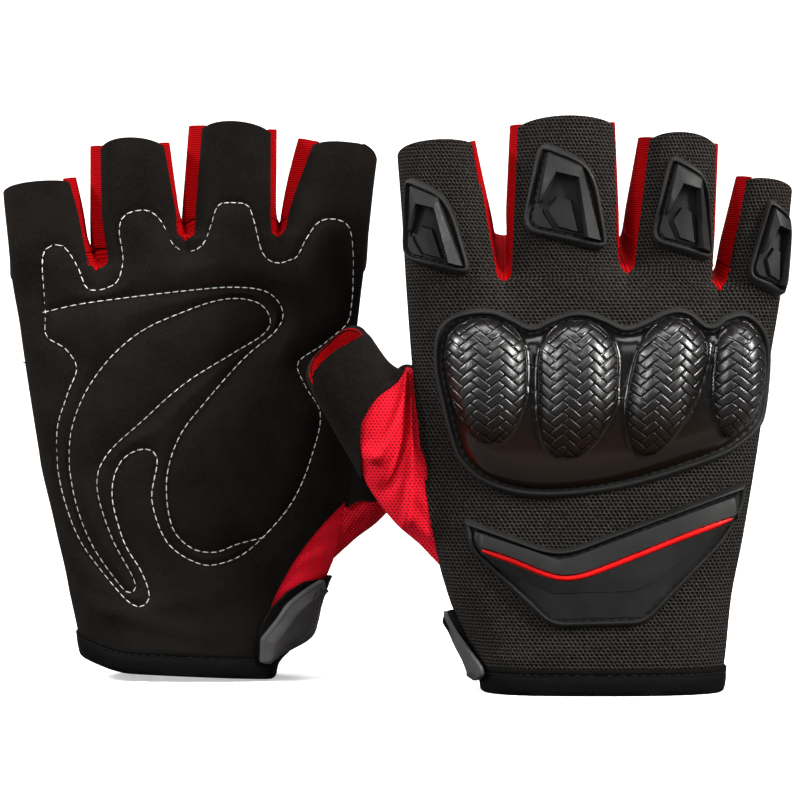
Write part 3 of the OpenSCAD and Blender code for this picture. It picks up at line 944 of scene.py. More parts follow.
INNER_STITCH = spline([
    (-16.9, 105.3), (-8, 105.9), (4, 101.6), (17.1, 94.3), (28, 82), (34, 67), (33, 50), (28, 35.2),
    (19, 24.2), (15.4, 23), (15, 26.4), (22, 38), (25.9, 51), (23.4, 60.6), (14, 70.4), (2.2, 81.8),
    (-10.8, 90.8), (-19, 96.5), (-20.7, 101),
], closed=True, steps=6)
# The stitch lines are drawn as they show on glove A, so its own set is taken off them, in a few rounds
for run in (OUTLINE_STITCH, CHANNEL_STITCH, INNER_STITCH):
    seen = run.copy()
    for _ in range(6):
        run[:, 0] = seen[:, 0] - shift_a(run[:, 0], run[:, 1])
        run[:, 1] = seen[:, 1] - rise_of_tips(run[:, 0]) * ramp(run[:, 1], *TIP_RISE) * (run[:, 0] < -28)
QUILT_LINES = (closed_run(OUTLINE_STITCH), CHANNEL_STITCH, closed_run(INNER_STITCH))


PADDING = 1.8                           # rise of the padded palm between its stitch lines
PLAIN_RISE = 0.3                        # rise of the cloth beside the stitches outside the padding
GROOVE = 0.55                           # depth that the stitches pull the cloth down


def quilting(x, z):
    """Height that the padding and its stitch lines add to the palm."""
    away = np.min([distance_to(line, x, z) for line in QUILT_LINES], axis=0)
    padded = PADDING * (1 - np.exp(-(away / 3.6) ** 1.5))
    plain = PLAIN_RISE * (1 - np.exp(-(away / 3) ** 2))
    swell = np.where(inside(OUTLINE_STITCH, x, z), padded, plain)
    return swell - GROOVE * np.exp(-(away / 0.8) ** 2)


def creases(side, x, z):
    """Slow, shallow unevenness of worn cloth."""
    wave = 0.4 * np.sin(0.11 * x + 0.05 * z + 1.3) * np.sin(0.09 * z - 0.04 * x)
    wave += 0.16 * np.sin(0.31 * x - 0.12 * z) * np.sin(0.23 * z + 0.5 * side)
    folds = 0.6 * np.exp(-((z - 13 - 0.16 * x) / 2.6) ** 2)
    folds = folds + 0.5 * np.exp(-((z - 21 + 0.22 * x) / 3.0) ** 2)
    return wave * ramp(z, 8, 30) + folds * ramp(z, 5, 10) * ramp(side * x, -30, 10)


# ---------------------------------------------------------------- shell cloth

# Each side's name, material, slot and size of mesh cell
SIDES = ((BACK, "back", "black_mesh", "black_mesh", 1.0), (PALM, "palm", "suede", "black_suede", 0.75))


def cloth_grid(side, finger, rows, across):
    """Outer points of a finger's column of cloth; rows maps (share across, row) to a height."""
    u = np.linspace(0, 1, across)[:, None]
    z = rows(u)
    u = np.broadcast_to(u, z.shape)
    x, depth = cloth_at(side, finger, u, z)
    depth = depth + creases(side, x, z) * np.minimum(1, depth / 6)
    if side == PALM:
        depth = depth + quilting(x, z) * np.minimum(1, depth / 5)
    return np.stack([x, side * depth, z], -1)


def lengths(grid):
    """Arc length across each row of a grid, from its first column."""
    steps = np.linalg.norm(np.diff(grid[..., [0, 1]], axis=0), axis=-1)
    return np.concatenate([np.zeros((1, grid.shape[1])), np.cumsum(steps, axis=0)])


def sewn_sheet(name, grid, side, weave_u, thickness=CLOTH):
    """Sheet of shell cloth from its outer grid, with its weave coordinate across."""
    return shell(name, grid, grid - thickness * facing(grid, 1, side), chart(weave_u, grid[..., 2]))


def crown_z(finger, u, side):
    """Height of a finger's open end across its column."""
    left, crown, right = TOPS[finger]
    arch = crown[1] - (left[1] + right[1]) / 2
    return lerp(left[1], right[1], u) + max(arch, 1.2) * (1 - (2 * u - 1) ** 2) - 0.3 * (side == PALM)


def build_shell():
    """The cloth of the back and of the palm: one sheet over the hand and one for each finger."""
    columns = (26, 32, 26, 22)
    bottom = 4.5
    for side, label, paint, slot, cell in SIDES:
        split = SPLIT_Z[side]
        heights = np.arange(bottom, split + 0.01, (split - bottom) / round((split - bottom) / cell))
        counts = [round(c / cell) for c in columns]

        def level_rows(u, heights=heights):
            return np.broadcast_to(heights, (len(u), len(heights)))

        grids = [cloth_grid(side, finger, level_rows, counts[finger]) for finger in range(4)]
        hand = np.concatenate([grids[0]] + [grid[1:] for grid in grids[1:]])
        weave_u = lengths(hand)
        weave_u -= weave_u[len(weave_u) // 2]
        # the knit's columns run straight on from the hand into the fingers
        level = np.searchsorted(heights, 95)
        weave_u[:, level:] = weave_u[:, level:level + 1]
        data = sewn_sheet(label, hand, side, weave_u)
        add(f"{label}_cloth", data, paint, parts=(f"{label}_panel",))
        first = 0
        for finger, name in enumerate(FINGERS):
            columns_u = weave_u[first:first + counts[finger], -1:]
            first += counts[finger] - 1

            def rows(u, finger=finger):
                top = crown_z(finger, u, side)
                level = np.arange(split, top.min(), cell)
                share = (level - level[0]) / (level[-1] - level[0])
                return level + (top - level[-1]) * share ** 2

            grid = cloth_grid(side, finger, rows, counts[finger])
            data = sewn_sheet(f"{name}_{label}", grid, side, columns_u)
            add(f"{name}_{label}_cloth", data, paint, bend=name, parts=(f"{name}_stall",))


def notch_arm(side, notch, arm, share):
    """Points up one side of a finger notch, from its bottom (share 0) to the open end (share 1)."""
    web_z = WEBS[side][notch][1]
    finger = notch if arm < 0 else notch + 1
    top_z = TOPS[finger][2 if arm < 0 else 0][1] + 0.9
    z = web_z + (top_z - web_z) * share ** 1.5
    x = seam_x(side, notch, arm, z)
    depth = surface(side, x - arm * 0.05, z)
    depth = lerp(depth, SEAM_DEPTH, ramp(z, web_z, web_z + 8))
    return np.stack([x, side * (depth - 0.35), z], -1)


# How far the walls swell into the notches: at the bottom and at the open end of either side; the last
# number, a power, moves the swelling towards the palm
SWELL = {"glove_a": (3.6, (3.8, 1.8), 1.5), "glove_b": (1.0, (1.9, 1.9), 1.0)}


WALL_WIDE = 14                          # of the cloth, from the back seam to the palm seam
TUCK = 0.07                             # share of that width that goes under the cloth at either seam
SINK = 9                                # how steeply it goes under, in millimetres for the whole width


def wall_grid(glove, notch, arm, shares, across=15):
    """Side wall of a finger: from the back seam to the palm seam, swelling into the notch."""
    back = notch_arm(BACK, notch, arm, shares)
    palm = notch_arm(PALM, notch, arm, shares)
    middle = (back + palm) / 2
    rise = np.gradient(middle[:, [0, 2]], axis=0)
    rise[0] = (0.3 * arm, 0)
    rise /= np.linalg.norm(rise, axis=1, keepdims=True)
    into = np.stack([-arm * rise[:, 1], np.zeros(len(rise)), np.abs(rise[:, 0])], -1)
    k = np.linspace(-TUCK, 1 + TUCK, across)[None, :, None]
    under = np.maximum(0, np.maximum(-k, k - 1))
    low, tops, skew = SWELL[glove]
    swell = lerp(low, tops[0 if arm < 0 else 1], ramp(shares, 0.12, 0.55))
    bulge = swell[:, None, None] * np.sin(math.pi * np.clip(k, 0, 1) ** skew) ** 0.8
    return back[:, None] * (1 - k) + palm[:, None] * k + into[:, None] * (bulge - SINK * under)


def build_notch(glove, notch):
    """The two side walls of one finger notch, and the web that joins them at its bottom."""
    turn = 0.3                          # share up each side where the web hands over to the wall
    web_rows = []
    for arm in (-1, 1):
        finger = FINGERS[notch if arm < 0 else notch + 1]
        grid = wall_grid(glove, notch, arm, np.linspace(turn, 1, 46))
        weave = chart(np.linspace(0, WALL_WIDE, grid.shape[1]), grid[..., 2])
        data = shell(f"{finger}_wall", grid, grid - WALL_CLOTH * facing(grid, 0, -arm), weave)
        side = "inner" if arm < 0 else "outer"
        add(f"{finger}_{side}_fourchette", data, "red_rib", bend=finger,
            parts=(f"{finger}_fourchette",), gloves=(glove,))
        web_rows.append(wall_grid(glove, notch, arm, np.linspace(0, turn, 14)))
    grid = np.concatenate([web_rows[0][::-1], web_rows[1][1:]])
    weave = chart(np.linspace(0, WALL_WIDE, grid.shape[1]), np.linspace(-4, 4, grid.shape[0])[:, None])
    data = shell(f"web_{notch}", grid, grid - WALL_CLOTH * facing(grid, 2, 1), weave)
    add(f"web_{notch + 1}", data, "red_rib", parts=("finger_webs",), gloves=(glove,))


GIRTH = 190                             # length of the cloth round the wrist


def ring_points(z, offset, count=160):
    """Points round the hand at one height."""
    t = np.linspace(0, 2 * math.pi, count, endpoint=False)
    depth = np.where(np.sin(t) > 0, back_depth(z), palm_depth(z))
    x = hand_middle(z) - (hand_half(z) + offset) * signed_power(np.cos(t), ROUNDNESS)
    y = -(depth + offset) * signed_power(np.sin(t), ROUNDNESS)
    return np.stack([x, y, np.full(count, float(z))], -1)


def build_cuff():
    """Sewn binding round the wrist edge, and the lining inside the hand."""
    section = [(7.2, -0.6), (7.1, 0.35), (6.7, 0.75), (5.9, 0.8), (5.5, 0.5), (5.1, 0.85), (3.5, 1.1),
               (1.6, 1.1), (0.5, 0.9), (0.02, 0.2), (0.0, -0.9), (0.5, -1.5), (6.0, -1.6), (7.4, -1.5)]
    outer = np.stack([ring_points(z, off) for z, off in section], 1)
    inner = np.stack([ring_points(lerp(z, 3.6, 0.25), off * 0.3 - 0.3) for z, off in section], 1)
    wave = 0.25 * np.sin(np.linspace(0, 2 * math.pi * 9, outer.shape[0], endpoint=False))
    outer[:, 2:8, 1] += (wave * 0.4)[:, None] * np.sign(outer[:, 2:8, 1])
    around = np.linspace(0, GIRTH, len(outer) + 1)[:, None]
    data = shell("cuff", outer, inner, chart(around, np.arange(len(section))), ring=True)
    add("cuff_tape", data, "tape", parts=("cuff_binding",))
    row = ring_points(5.5, 0.75, 600)   # in the groove of the section above
    spots = row[::7]
    along = np.roll(row, -1, 0)[::7] - spots
    data = capsules("cuff_stitch", spots, along, spots * [1, 1, 0], 1.7, 0.4, 0.35)
    add("cuff_stitching", data, "black_thread")
    heights = np.linspace(1.5, 96, 50)
    outer, inner = (np.stack([ring_points(z, offset, 96) for z in heights], 1) for offset in (-2.3, -2.9))
    data = shell("lining", outer, inner, chart(np.linspace(0, GIRTH, 97)[:, None], heights), ring=True)
    add("inner_lining", data, "lining", parts=("lining",))


# ---------------------------------------------------------------- knuckle guard

GUARD_OUTLINE = spline([
    (-43.6, 92), (-42.4, 98), (-38.6, 101.7), (-32.7, 103.2), (-27, 102.9), (-22, 100.9),
    (-17.4, 98.7), (-13, 100.6), (-7.6, 102.5), (-2.5, 102.5), (2.6, 100.8), (7.6, 98.7),
    (12.6, 100.3), (17.4, 102.7), (21.6, 103.5), (25.6, 102.4), (30, 99.2), (34, 101.4),
    (38.4, 102.7), (42, 101.6), (45.6, 97.4), (46.9, 90), (45.6, 76), (43.4, 70.6), (38.6, 66.2),
    (32.6, 62.8), (21, 58.7), (9, 55.2), (-3, 53.1), (-14.8, 52.4), (-24, 53.6), (-31.4, 56.8),
    (-37, 62.3), (-39.6, 69.2), (-41.8, 78.4), (-43.3, 85.4),
], closed=True, steps=14)
# Each dome: bottom height, top height, then keys of (share up, centre x, half width)
DOMES = (
    (66.8, 100.4, ((0, -27.4, 6.6), (0.4, -28.4, 10.2), (0.75, -29.4, 11.4), (1, -29.8, 11.2))),
    (62.8, 99.9, ((0, -8.6, 8), (0.4, -5.6, 10.6), (0.75, -5.2, 11.1), (1, -5.4, 10.4))),
    (63.4, 100.6, ((0, 11.8, 6), (0.4, 15.8, 9), (0.75, 19.4, 9.9), (1, 21.2, 9.2))),
    (68.4, 99.9, ((0, 33.4, 4.6), (0.4, 36.2, 7), (0.75, 37.2, 7.1), (1, 37.6, 6.8))),
)
DOME_RISE = 5.2
FLANGE = 2.8                            # width of the guard's sewn edge
RIM = 1.9                               # width of the raised bead outside the stitches
STITCH_IN = 0.45                        # from a bead to the stitches inside it
STRAND = 2.09                           # width of a strand of the braid


def dome_row(dome, up):
    """Middle and half width of a dome at a place up it, from -1 to 1."""
    shares, middles, halves = np.array(dome[2]).T
    share = (up + 1) / 2
    limit = np.maximum(1e-3, 1 - np.abs(np.clip(up, -1, 1)) ** 3.2) ** (1 / 2.4)
    return np.interp(share, shares, middles), np.interp(share, shares, halves) * limit


def dome_place(dome, x, z):
    """Where (x, z) is in a dome: -1 to 1 across it and -1 to 1 up it."""
    low, high, _ = dome
    up = 2 * (z - low) / (high - low) - 1
    middle, half = dome_row(dome, up)
    return (x - middle) / half, up


def dome_outline(dome):
    """Line just inside the foot of a dome."""
    low, high, _ = dome
    around = np.linspace(0, 2 * math.pi, 120, endpoint=False)
    up = np.sin(around) * 0.985
    middle, half = dome_row(dome, up)
    return np.stack([middle + half * np.sign(np.cos(around)) * 0.94, lerp(low, high, (up + 1) / 2)], 1)


def dome_height(x, z):
    """Rise of the four domes above the guard's body."""
    best = np.zeros(np.shape(x))
    for dome in DOMES:
        across, up = dome_place(dome, x, z)
        crown = np.maximum(0, 1 - np.abs(across) ** 2.1) ** 0.85
        ends = np.maximum(0, 1 - np.abs(up) ** 3) ** 0.8
        strong = lerp(0.7, 1.0, ramp(up, -1, 0.2))
        best = np.maximum(best, DOME_RISE * crown * ends * strong)
    return best


def rim_relief(inset):
    """Bead and stitched groove of the guard's sewn edge."""
    bead = 1.9 * np.sin(np.clip(inset / RIM, 0, 1) * math.pi * 0.72)
    return lerp(bead, 0.7, ramp(inset, RIM - 0.25, RIM + 0.15))


def guard_inset(edge, x, z):
    """Distance inside the guard's outline, 0 outside it."""
    return np.where(inside(edge[:-1], x, z), distance_to(edge, x, z), 0)


def guard_relief(x, z, inset):
    """Height of the hard shell: its body, the swelling under the domes and the domes."""
    body = 0.5 + 4.0 * (1 - np.exp(-np.maximum(0, inset - FLANGE + 0.3) / 1.7))
    lower = 1.6 * ramp(z, 52, 66) * (1 - ramp(z, 70, 92)) * ramp(inset, 3, 9)
    return body + (dome_height(x, z) + lower) * ramp(inset, FLANGE, FLANGE + 2.2)


def braid_tiles(dome):
    """Centres and directions of the strands' visible floats over one dome: a two-up two-down braid."""
    low, high, keys = dome
    reach = 16
    middle = (np.mean([key[1] for key in keys]), (low + high) / 2)
    spots = []
    for row in range(-reach, reach):
        for column in range(-reach, reach):
            step = (column + row) % 4
            if step == 0:
                spots.append((column + 1, row + 0.5, 0))        # runs along the first strand direction
            if step == 2:
                spots.append((column + 0.5, row + 1, 1))        # runs along the second
    spots = np.array(spots, float)
    a, b = spots[:, 0] * STRAND, spots[:, 1] * STRAND
    centre = np.stack([(a + b) / math.sqrt(2) * 1.13 + middle[0], (a - b) / math.sqrt(2) + middle[1]], 1)
    way = np.where(spots[:, 2:] == 0, (1.0, 1.0), (1.0, -1.0)) / math.sqrt(2)
    return centre, way


def lay_tiles(dome, edge):
    """Grids of points of one dome's tiles: slightly arched, rounded at the edges, sunk at its outline."""
    centre, way = braid_tiles(dome)
    s = np.array([-1, -0.99, -0.965, -0.85, -0.5, -0.15, 0.15, 0.5, 0.85, 0.965, 0.99, 1])
    t = np.array([-1, -0.97, -0.9, -0.5, 0, 0.5, 0.9, 0.97, 1])
    s2, t2 = np.meshgrid(s, t, indexing="ij")
    edge_s = np.interp(np.abs(s), (0, 0.85, 0.965, 0.99, 1), (1, 1, 0.92, 0.6, 0))[:, None]
    edge_t = np.interp(np.abs(t), (0, 0.5, 0.9, 0.97, 1), (1, 1, 0.97, 0.6, 0))[None, :]
    rise = edge_s * edge_t * (0.5 + 0.13 * (1 - s2 ** 2))
    along = way[:, None, None] * (s2 * STRAND * 0.985)[None, ..., None]
    side = np.stack([-way[:, 1], way[:, 0]], 1)[:, None, None] * (t2 * STRAND * 0.47)[None, ..., None]
    flat = along + side
    x = centre[:, 0, None, None] + flat[..., 0] * 1.13
    z = centre[:, 1, None, None] + flat[..., 1]
    across, up = dome_place(dome, x, z)
    margin = np.minimum(1 - np.abs(across), (1 - np.abs(up)) * 2.2)
    keep = (margin > 0.02).mean((1, 2)) > 0.12
    x, z, margin = x[keep], z[keep], margin[keep]
    depth_in = guard_inset(edge, x, z)
    ground = guard_relief(x, z, depth_in)
    shown = ramp(margin, 0.02, 0.07) * ramp(depth_in, FLANGE - 0.4, FLANGE)
    sunk = 1.4 * (1 - ramp(depth_in, 0.5, FLANGE))
    top = lay(BACK, x, z, ground - 0.45 - sunk + shown * (0.30 + rise[None]))
    low = lay(BACK, x, z, ground - 0.9 - sunk)
    return top, low


def build_knuckle_guard():
    """Sewn rim, glossy shell, braided domes with their piping, stitches and the foam underneath."""
    # a point's true inset is its distance to the outline, so that the domes' feet follow it everywhere
    edge = closed_run(resample(GUARD_OUTLINE, 1.2, closed=True))
    outline = resample(GUARD_OUTLINE, 0.6, closed=True)
    insets = [0, 0.1, 0.35, 0.7, 1.05, 1.35, 1.6, 1.75, 1.9, 2.1, 2.6, 3.2]
    data = rim_ring("rim", outline, insets, rim_relief)
    add("knuckle_rim", data, "rim", parts=("knuckle_guard",))

    def relief(x, z, inset):
        inset = distance_to(edge, x, z) if np.size(inset) > 1 else inset + FLANGE
        return guard_relief(x, z, inset)

    body = resample(inset_path(GUARD_OUTLINE, FLANGE - 0.3), 0.7, closed=True)
    insets = [0, 0.1, 0.25, 0.45, 0.7, 1.0, 1.4, 1.9, 2.5, 3.2]
    data = plate("guard", body, insets, relief, BACK, fill=46, floor=0.1, middle=(1, 80), sharp=60)
    add("knuckle_shell", data, "gloss", parts=("knuckle_guard",))
    for number, dome in enumerate(DOMES, 1):
        data = tiles(f"dome_{number}", *lay_tiles(dome, edge))
        add(f"knuckle_braid_{number}", data, "braid", parts=("knuckle_guard",))
        line = resample(dome_outline(dome), 0.9, closed=True)
        ground = guard_relief(*line.T, guard_inset(edge, *line.T))
        path = raised(BACK, line, ground - 0.02, lay)
        out = raised(BACK, line, ground + 1, lay) - path
        data = tube("piping", path, 0.24, out, sides=8, closed=True)
        add(f"knuckle_piping_{number}", data, "gloss", parts=("knuckle_guard",))
    path = inset_path(GUARD_OUTLINE, RIM + STITCH_IN)
    data = stitches("k", path, BACK, 0.78, 2.4, 1.7, 0.45, 0.45, closed=True)
    add("knuckle_stitching", data, "black_thread")

    def cushion(x, z, inset):
        return 0.3 + 0.62 * relief(x, z, inset)

    foam = resample(inset_path(GUARD_OUTLINE, 5.5), 2.0, closed=True)
    data = plate("foam", foam, [0, 0.4, 1.0, 2.0], cushion, BACK, fill=12, floor=0.1)
    add("knuckle_cushion", data, "foam", parts=("knuckle_foam",))


# ---------------------------------------------------------------- wrist guard

def rounded(corners, radius, steps=6):
    """Closed polygon with its corners rounded; corners are (x, z) or (x, z, radius)."""
    points = []
    n = len(corners)
    for k, corner in enumerate(corners):
        r = corner[2] if len(corner) > 2 else radius
        here = np.array(corner[:2], float)
        before = np.array(corners[k - 1][:2], float) - here
        after = np.array(corners[(k + 1) % n][:2], float) - here
        a = here + before / np.linalg.norm(before) * min(r, np.linalg.norm(before) * 0.45)
        b = here + after / np.linalg.norm(after) * min(r, np.linalg.norm(after) * 0.45)
        for t in np.linspace(0, 1, steps):
            points.append((1 - t) ** 2 * a + 2 * t * (1 - t) * here + t * t * b)
    return np.array(points)


WRIST_OUTLINE = rounded([
    (-35.6, 47.4), (-10.4, 38.2, 6), (39.9, 57), (39.4, 50.6, 3), (34, 40.6, 4), (12.4, 18.4, 4),
    (-12.6, 17.8, 4), (-34, 38.6, 3),
], 1.2)
STRIPE = spline([
    (-30.6, 38.9), (-22.3, 36), (-15, 32.9), (-10.4, 31.5), (-6, 31.6), (0, 33.4), (14, 39),
    (24.6, 43.3), (35.4, 47.4),
], steps=8)
WRIST_RIM = 1.7
# Lines of the face inside the rim, as keys (x, z) from its thumb side to its little-finger side
WRIST_TOP = (
    (-32.3, 43.8), (-14, 37.5), (-10.2, 36.3), (-6.6, 37), (37.4, 53.7),
)
WRIST_LEDGE = (
    (-32.3, 40.4), (-27.2, 34.6), (-11.6, 27.2), (8.8, 27.8), (14.6, 30.2), (33.4, 44.8),
    (37.4, 50.6),
)
WRIST_BASE = (
    (-32.3, 40), (-12.4, 20.3), (11.6, 20.9), (32.8, 42), (37.4, 50.2),
)


def build_wrist_guard():
    """Chevron of rubber with a sewn rim, a ledge and a red inlay."""
    outline = resample(WRIST_OUTLINE, 0.5, closed=True)

    def rim(inset):
        bead = 2.2 * np.sin(np.clip(inset / WRIST_RIM, 0, 1) * math.pi * 0.68)
        return lerp(bead, 0.9, ramp(inset, WRIST_RIM - 0.25, WRIST_RIM + 0.2))

    insets = [0, 0.1, 0.35, 0.7, 1.05, 1.3, 1.45, 1.6, 1.75, 1.95, 2.4, 2.9]
    data = rim_ring("rim", outline, insets, rim)
    add("wrist_rim", data, "rubber", parts=("wrist_guard",))
    x = np.linspace(-32.2, 37.3, 140)
    lines = [np.interp(x, *np.array(keys).T) for keys in (WRIST_BASE, WRIST_LEDGE, WRIST_TOP)]
    base, ledge, top = lines
    stripe = np.interp(x, STRIPE[:, 0], STRIPE[:, 1])
    stripe = np.clip(stripe, base + 0.5, top - 0.9)
    ledge = np.clip(ledge, base + 0.15, stripe - 0.6)
    # rows of the face, from its lower edge to its upper edge: z and height
    rows = [(base, 0.5), (base + 0.1, 1.2), (ledge - 0.05, 2.7), (ledge + 0.1, 2.9),
            (lerp(ledge, stripe - 0.85, 0.5), 3.6), (stripe - 0.95, 4.3), (stripe - 0.8, 2.5),
            (stripe, 2.4), (stripe + 0.8, 2.5), (stripe + 0.95, 4.2),
            (lerp(stripe + 0.95, top, 0.6), 3.9), (top - 0.12, 3.3), (top, 0.5)]
    z = np.maximum.accumulate(np.stack([row for row, _ in rows], 1), axis=1)
    fade = ramp(x, -32.3, -29.5) * (1 - ramp(x, 35, 37.4))
    height = 0.5 + (np.array([height for _, height in rows]) - 0.5) * (0.35 + 0.65 * fade[:, None])
    grid = np.stack(np.broadcast_arrays(x[:, None], z), -1)
    data = shell("wrist", raised(BACK, grid, height, lay), raised(BACK, grid, 0.1, lay), sharp=24)
    add("wrist_shell", data, "rubber", parts=("wrist_guard",))
    run = resample(STRIPE, 0.6)
    path = smoothed(raised(BACK, run, 2.9, lay), 4)
    out = raised(BACK, run, 5.0, lay) - path
    from_end = np.minimum(np.arange(len(run)), np.arange(len(run))[::-1])
    radius = 0.85 * np.minimum(1, 0.35 + 0.65 * from_end / 8)
    data = tube("stripe", path, radius[:, None, None], out, sides=12, flat=0.9)
    add("wrist_inlay", data, "red_rubber", parts=("wrist_stripe",))
    path = inset_path(WRIST_OUTLINE, WRIST_RIM + STITCH_IN)
    data = stitches("w", path, BACK, 1.0, 2.5, 1.6, 0.42, 0.42, closed=True)
    add("wrist_stitching", data, "black_thread")


# ---------------------------------------------------------------- finger pads

# The pad in its own millimetres, from its middle: x to the little finger, z up
PAD_OUTLINE = rounded([
    (-6.6, 15.8, 4.6), (4.9, 10.2, 4), (7.9, 4.4, 5), (10.9, -15.4, 5.4), (-11.2, -9.5, 5.4),
], 4)
PAD_RIM = 2.1                           # width of the raised bead outside the pad's stitches
# The hook-shaped ridge: lines (x, z) from its short arm over its apex to its long arm, outside to inside
HOOK = (
    ((-6.0, -1.7), (-4.0, 12.2), (3.7, 8.4), (8.0, -12.0)),
    ((-5.4, -1.3), (-3.5, 11.2), (3.3, 7.6), (7.3, -11.7)),
    ((-4.9, -1.0), (-1.8, 6.5), (2.5, 5.1), (4.3, -10.9)),
    ((-4.7, -0.9), (-1.5, 6.1), (2.2, 4.7), (3.8, -10.7)),
)
HOOK_HEIGHTS = (1.5, 2.9, 4.1, 0.8)
STUD = (
    (-1.9, 0.3), (-4.3, -3.3), (-1.6, -8.5), (3.2, -10.1), (1.3, -0.7),
)
STEP = (
    (-5.2, -2.6), (-7.2, -3.0), (-7.7, -5.8), (-5.6, -8.3), (-2.3, -9.0), (-4.9, -4.2),
)
# Where each pad sits: arc length from the finger's crown, height, and its two scales
PAD_PLACE = (
    (-4.6, 125.2, 0.88, 0.92), (-0.4, 133.0, 1.0, 1.0), (1.8, 130.0, 0.84, 0.99),
    (4.2, 119.4, 0.66, 0.91),
)


def pad_lay(finger):
    """lay() for one finger's pad, whose x is arc length round the finger."""
    def place(side, x, z, height):
        s0, z0, scale_x, scale_z = PAD_PLACE[finger]
        level = z0 + z * scale_z
        centre, half = finger_column(BACK, finger, level)
        radius = (half + CROWN_DEPTH[finger]) / 2
        angle = np.clip((s0 + x * scale_x) / radius, -math.radians(84), math.radians(84))
        spot = centre + half * np.sin(angle)
        depth = surface(BACK, spot, level)
        lean = np.clip(angle * 0.9, -1.4, 1.4)
        return np.stack([spot + height * np.sin(lean), -(depth + height * np.cos(lean)), level], -1)
    return place


def build_finger_pads():
    """Rubber pads with a sewn rim, a hook-shaped ridge, a stud and a step."""
    outline = resample(PAD_OUTLINE, 0.42, closed=True)

    def relief(x, z, inset):
        bead = 2.3 * np.sin(np.clip(inset / PAD_RIM, 0, 1) * math.pi * 0.7)
        groove = lerp(bead, 0.9, ramp(inset, PAD_RIM - 0.3, PAD_RIM + 0.1))
        return lerp(groove, 1.4, ramp(inset, 2.8, 3.0)) - 0.5 * ramp(inset, 3.4, 3.7)

    insets = [0, 0.1, 0.35, 0.75, 1.2, 1.6, 1.8, 2.0, 2.2, 2.5, 2.8, 2.9, 3.0, 3.4, 3.55, 3.7]
    for finger, name in enumerate(FINGERS):
        place = pad_lay(finger)
        mouldings = (
            ("rubber_pad", plate("pad", outline, insets, relief, BACK, place, 10, middle=(1, 0), sharp=30)),
            ("pad_ridge", ridge("hook", HOOK, HOOK_HEIGHTS, place)),
            ("pad_stud", gem("stud", STUD, 0.7, 0.8, 2.3, place)),
            ("pad_step", gem("step", STEP, 0.4, 0.8, 1.7, place)),
        )
        for label, data in mouldings:
            add(f"{name}_{label}", data, "pad_rubber", bend=name, parts=(f"{name}_pad",))
        path = inset_path(PAD_OUTLINE, PAD_RIM + 0.4)
        data = stitches("p", path, BACK, 1.05, 2.0, 1.4, 0.4, 0.4, closed=True, lay_on=place)
        add(f"{name}_pad_stitching", data, "black_thread", bend=name)


# ---------------------------------------------------------------- palm stitching and padding

FINGER_ROOTS = 118                      # height above which the palm's stitches belong to the fingers
UNDER_CLOTH = 2.7                       # depth of the foam's floor below the cloth's surface


def on_quilt(side, x, z, height):
    """lay() over the padding and creases, a little higher where the palm turns to its index side."""
    turned = 0.7 * ramp(-x, 43, 47) * ramp(z, 84, 92) * (1 - ramp(z, 108, 116))
    return lay(side, x, z, height + quilting(x, z) + creases(side, x, z) + turned)


def stitch_palm(label, run, closed, keep, bend=None, parts=()):
    """One row of white stitches."""
    data = stitches("s", run, PALM, 0.18, closed=closed, lay_on=on_quilt, keep=keep)
    add(label, data, "white_thread", bend=bend, parts=parts)


def build_palm():
    """The white stitching, in pieces for the hand and one for each finger above their roots, and the foam
    under the palm.
    """
    runs = ((OUTLINE_STITCH, True), (CHANNEL_STITCH, False), (INNER_STITCH, True))

    def on_hand(x, z):
        return z < FINGER_ROOTS

    for number, (run, closed) in enumerate(runs, 1):
        stitch_palm(f"palm_stitching_{number}", run, closed, on_hand, parts=("palm_panel",))
    limits = [-80] + [x for x, z in WEBS[PALM]] + [80]
    for name, first, last in zip(FINGERS, limits, limits[1:]):

        def on_finger(x, z, first=first, last=last):
            return (z >= FINGER_ROOTS) & (x >= first) & (x < last)

        stitch_palm(f"{name}_palm_stitching", OUTLINE_STITCH, True, on_finger, bend=name)
    cushions = (
        ((-40, 99), (-34, 103), (0, 104), (36, 99), (40, 95), (30, 92), (0, 96), (-34, 93)),
        ((-36, 76), (-31, 80), (-14, 86), (-4, 70), (0, 56), (-4, 42), (-14, 38), (-28, 52)),
        ((12, 72), (24, 80), (31, 64), (28, 46), (20, 30), (14, 27), (22, 46), (20, 62)),
    )

    def under_cloth(side, x, z, height):
        return lay(side, x, z, height - UNDER_CLOTH)

    def crowned(x, z, inset):
        return 0.9 * (1 - np.exp(-inset / 1.6)) + 0.1

    for number, keys in enumerate(cushions, 1):
        outline = resample(spline(keys, closed=True), 1.6, closed=True)
        data = plate("cushion", outline, [0, 0.5, 1.1, 2.0], crowned, PALM, under_cloth, fill=6, floor=-0.4)
        add(f"palm_cushion_{number}", data, "foam", parts=("palm_foam",))


# ---------------------------------------------------------------- thumb

# Edges of the thumb, from the hand to its open end
upper_line = spline([
    (-49.4, 87.3), (-50.6, 86.4), (-52.2, 86.3), (-54.8, 88), (-58.6, 92.2), (-62.4, 97.1),
])
lower_line = spline([
    (-41.4, 33.4), (-47.6, 40.6), (-53.2, 45.6), (-59.6, 53.4), (-68.6, 67.8), (-78.2, 84.4),
])
THUMB_WAY = np.array((-0.585, 0.811))   # the thumb's direction, in x and z
THUMB_LONG = 38                         # from the hand to the open end's corners


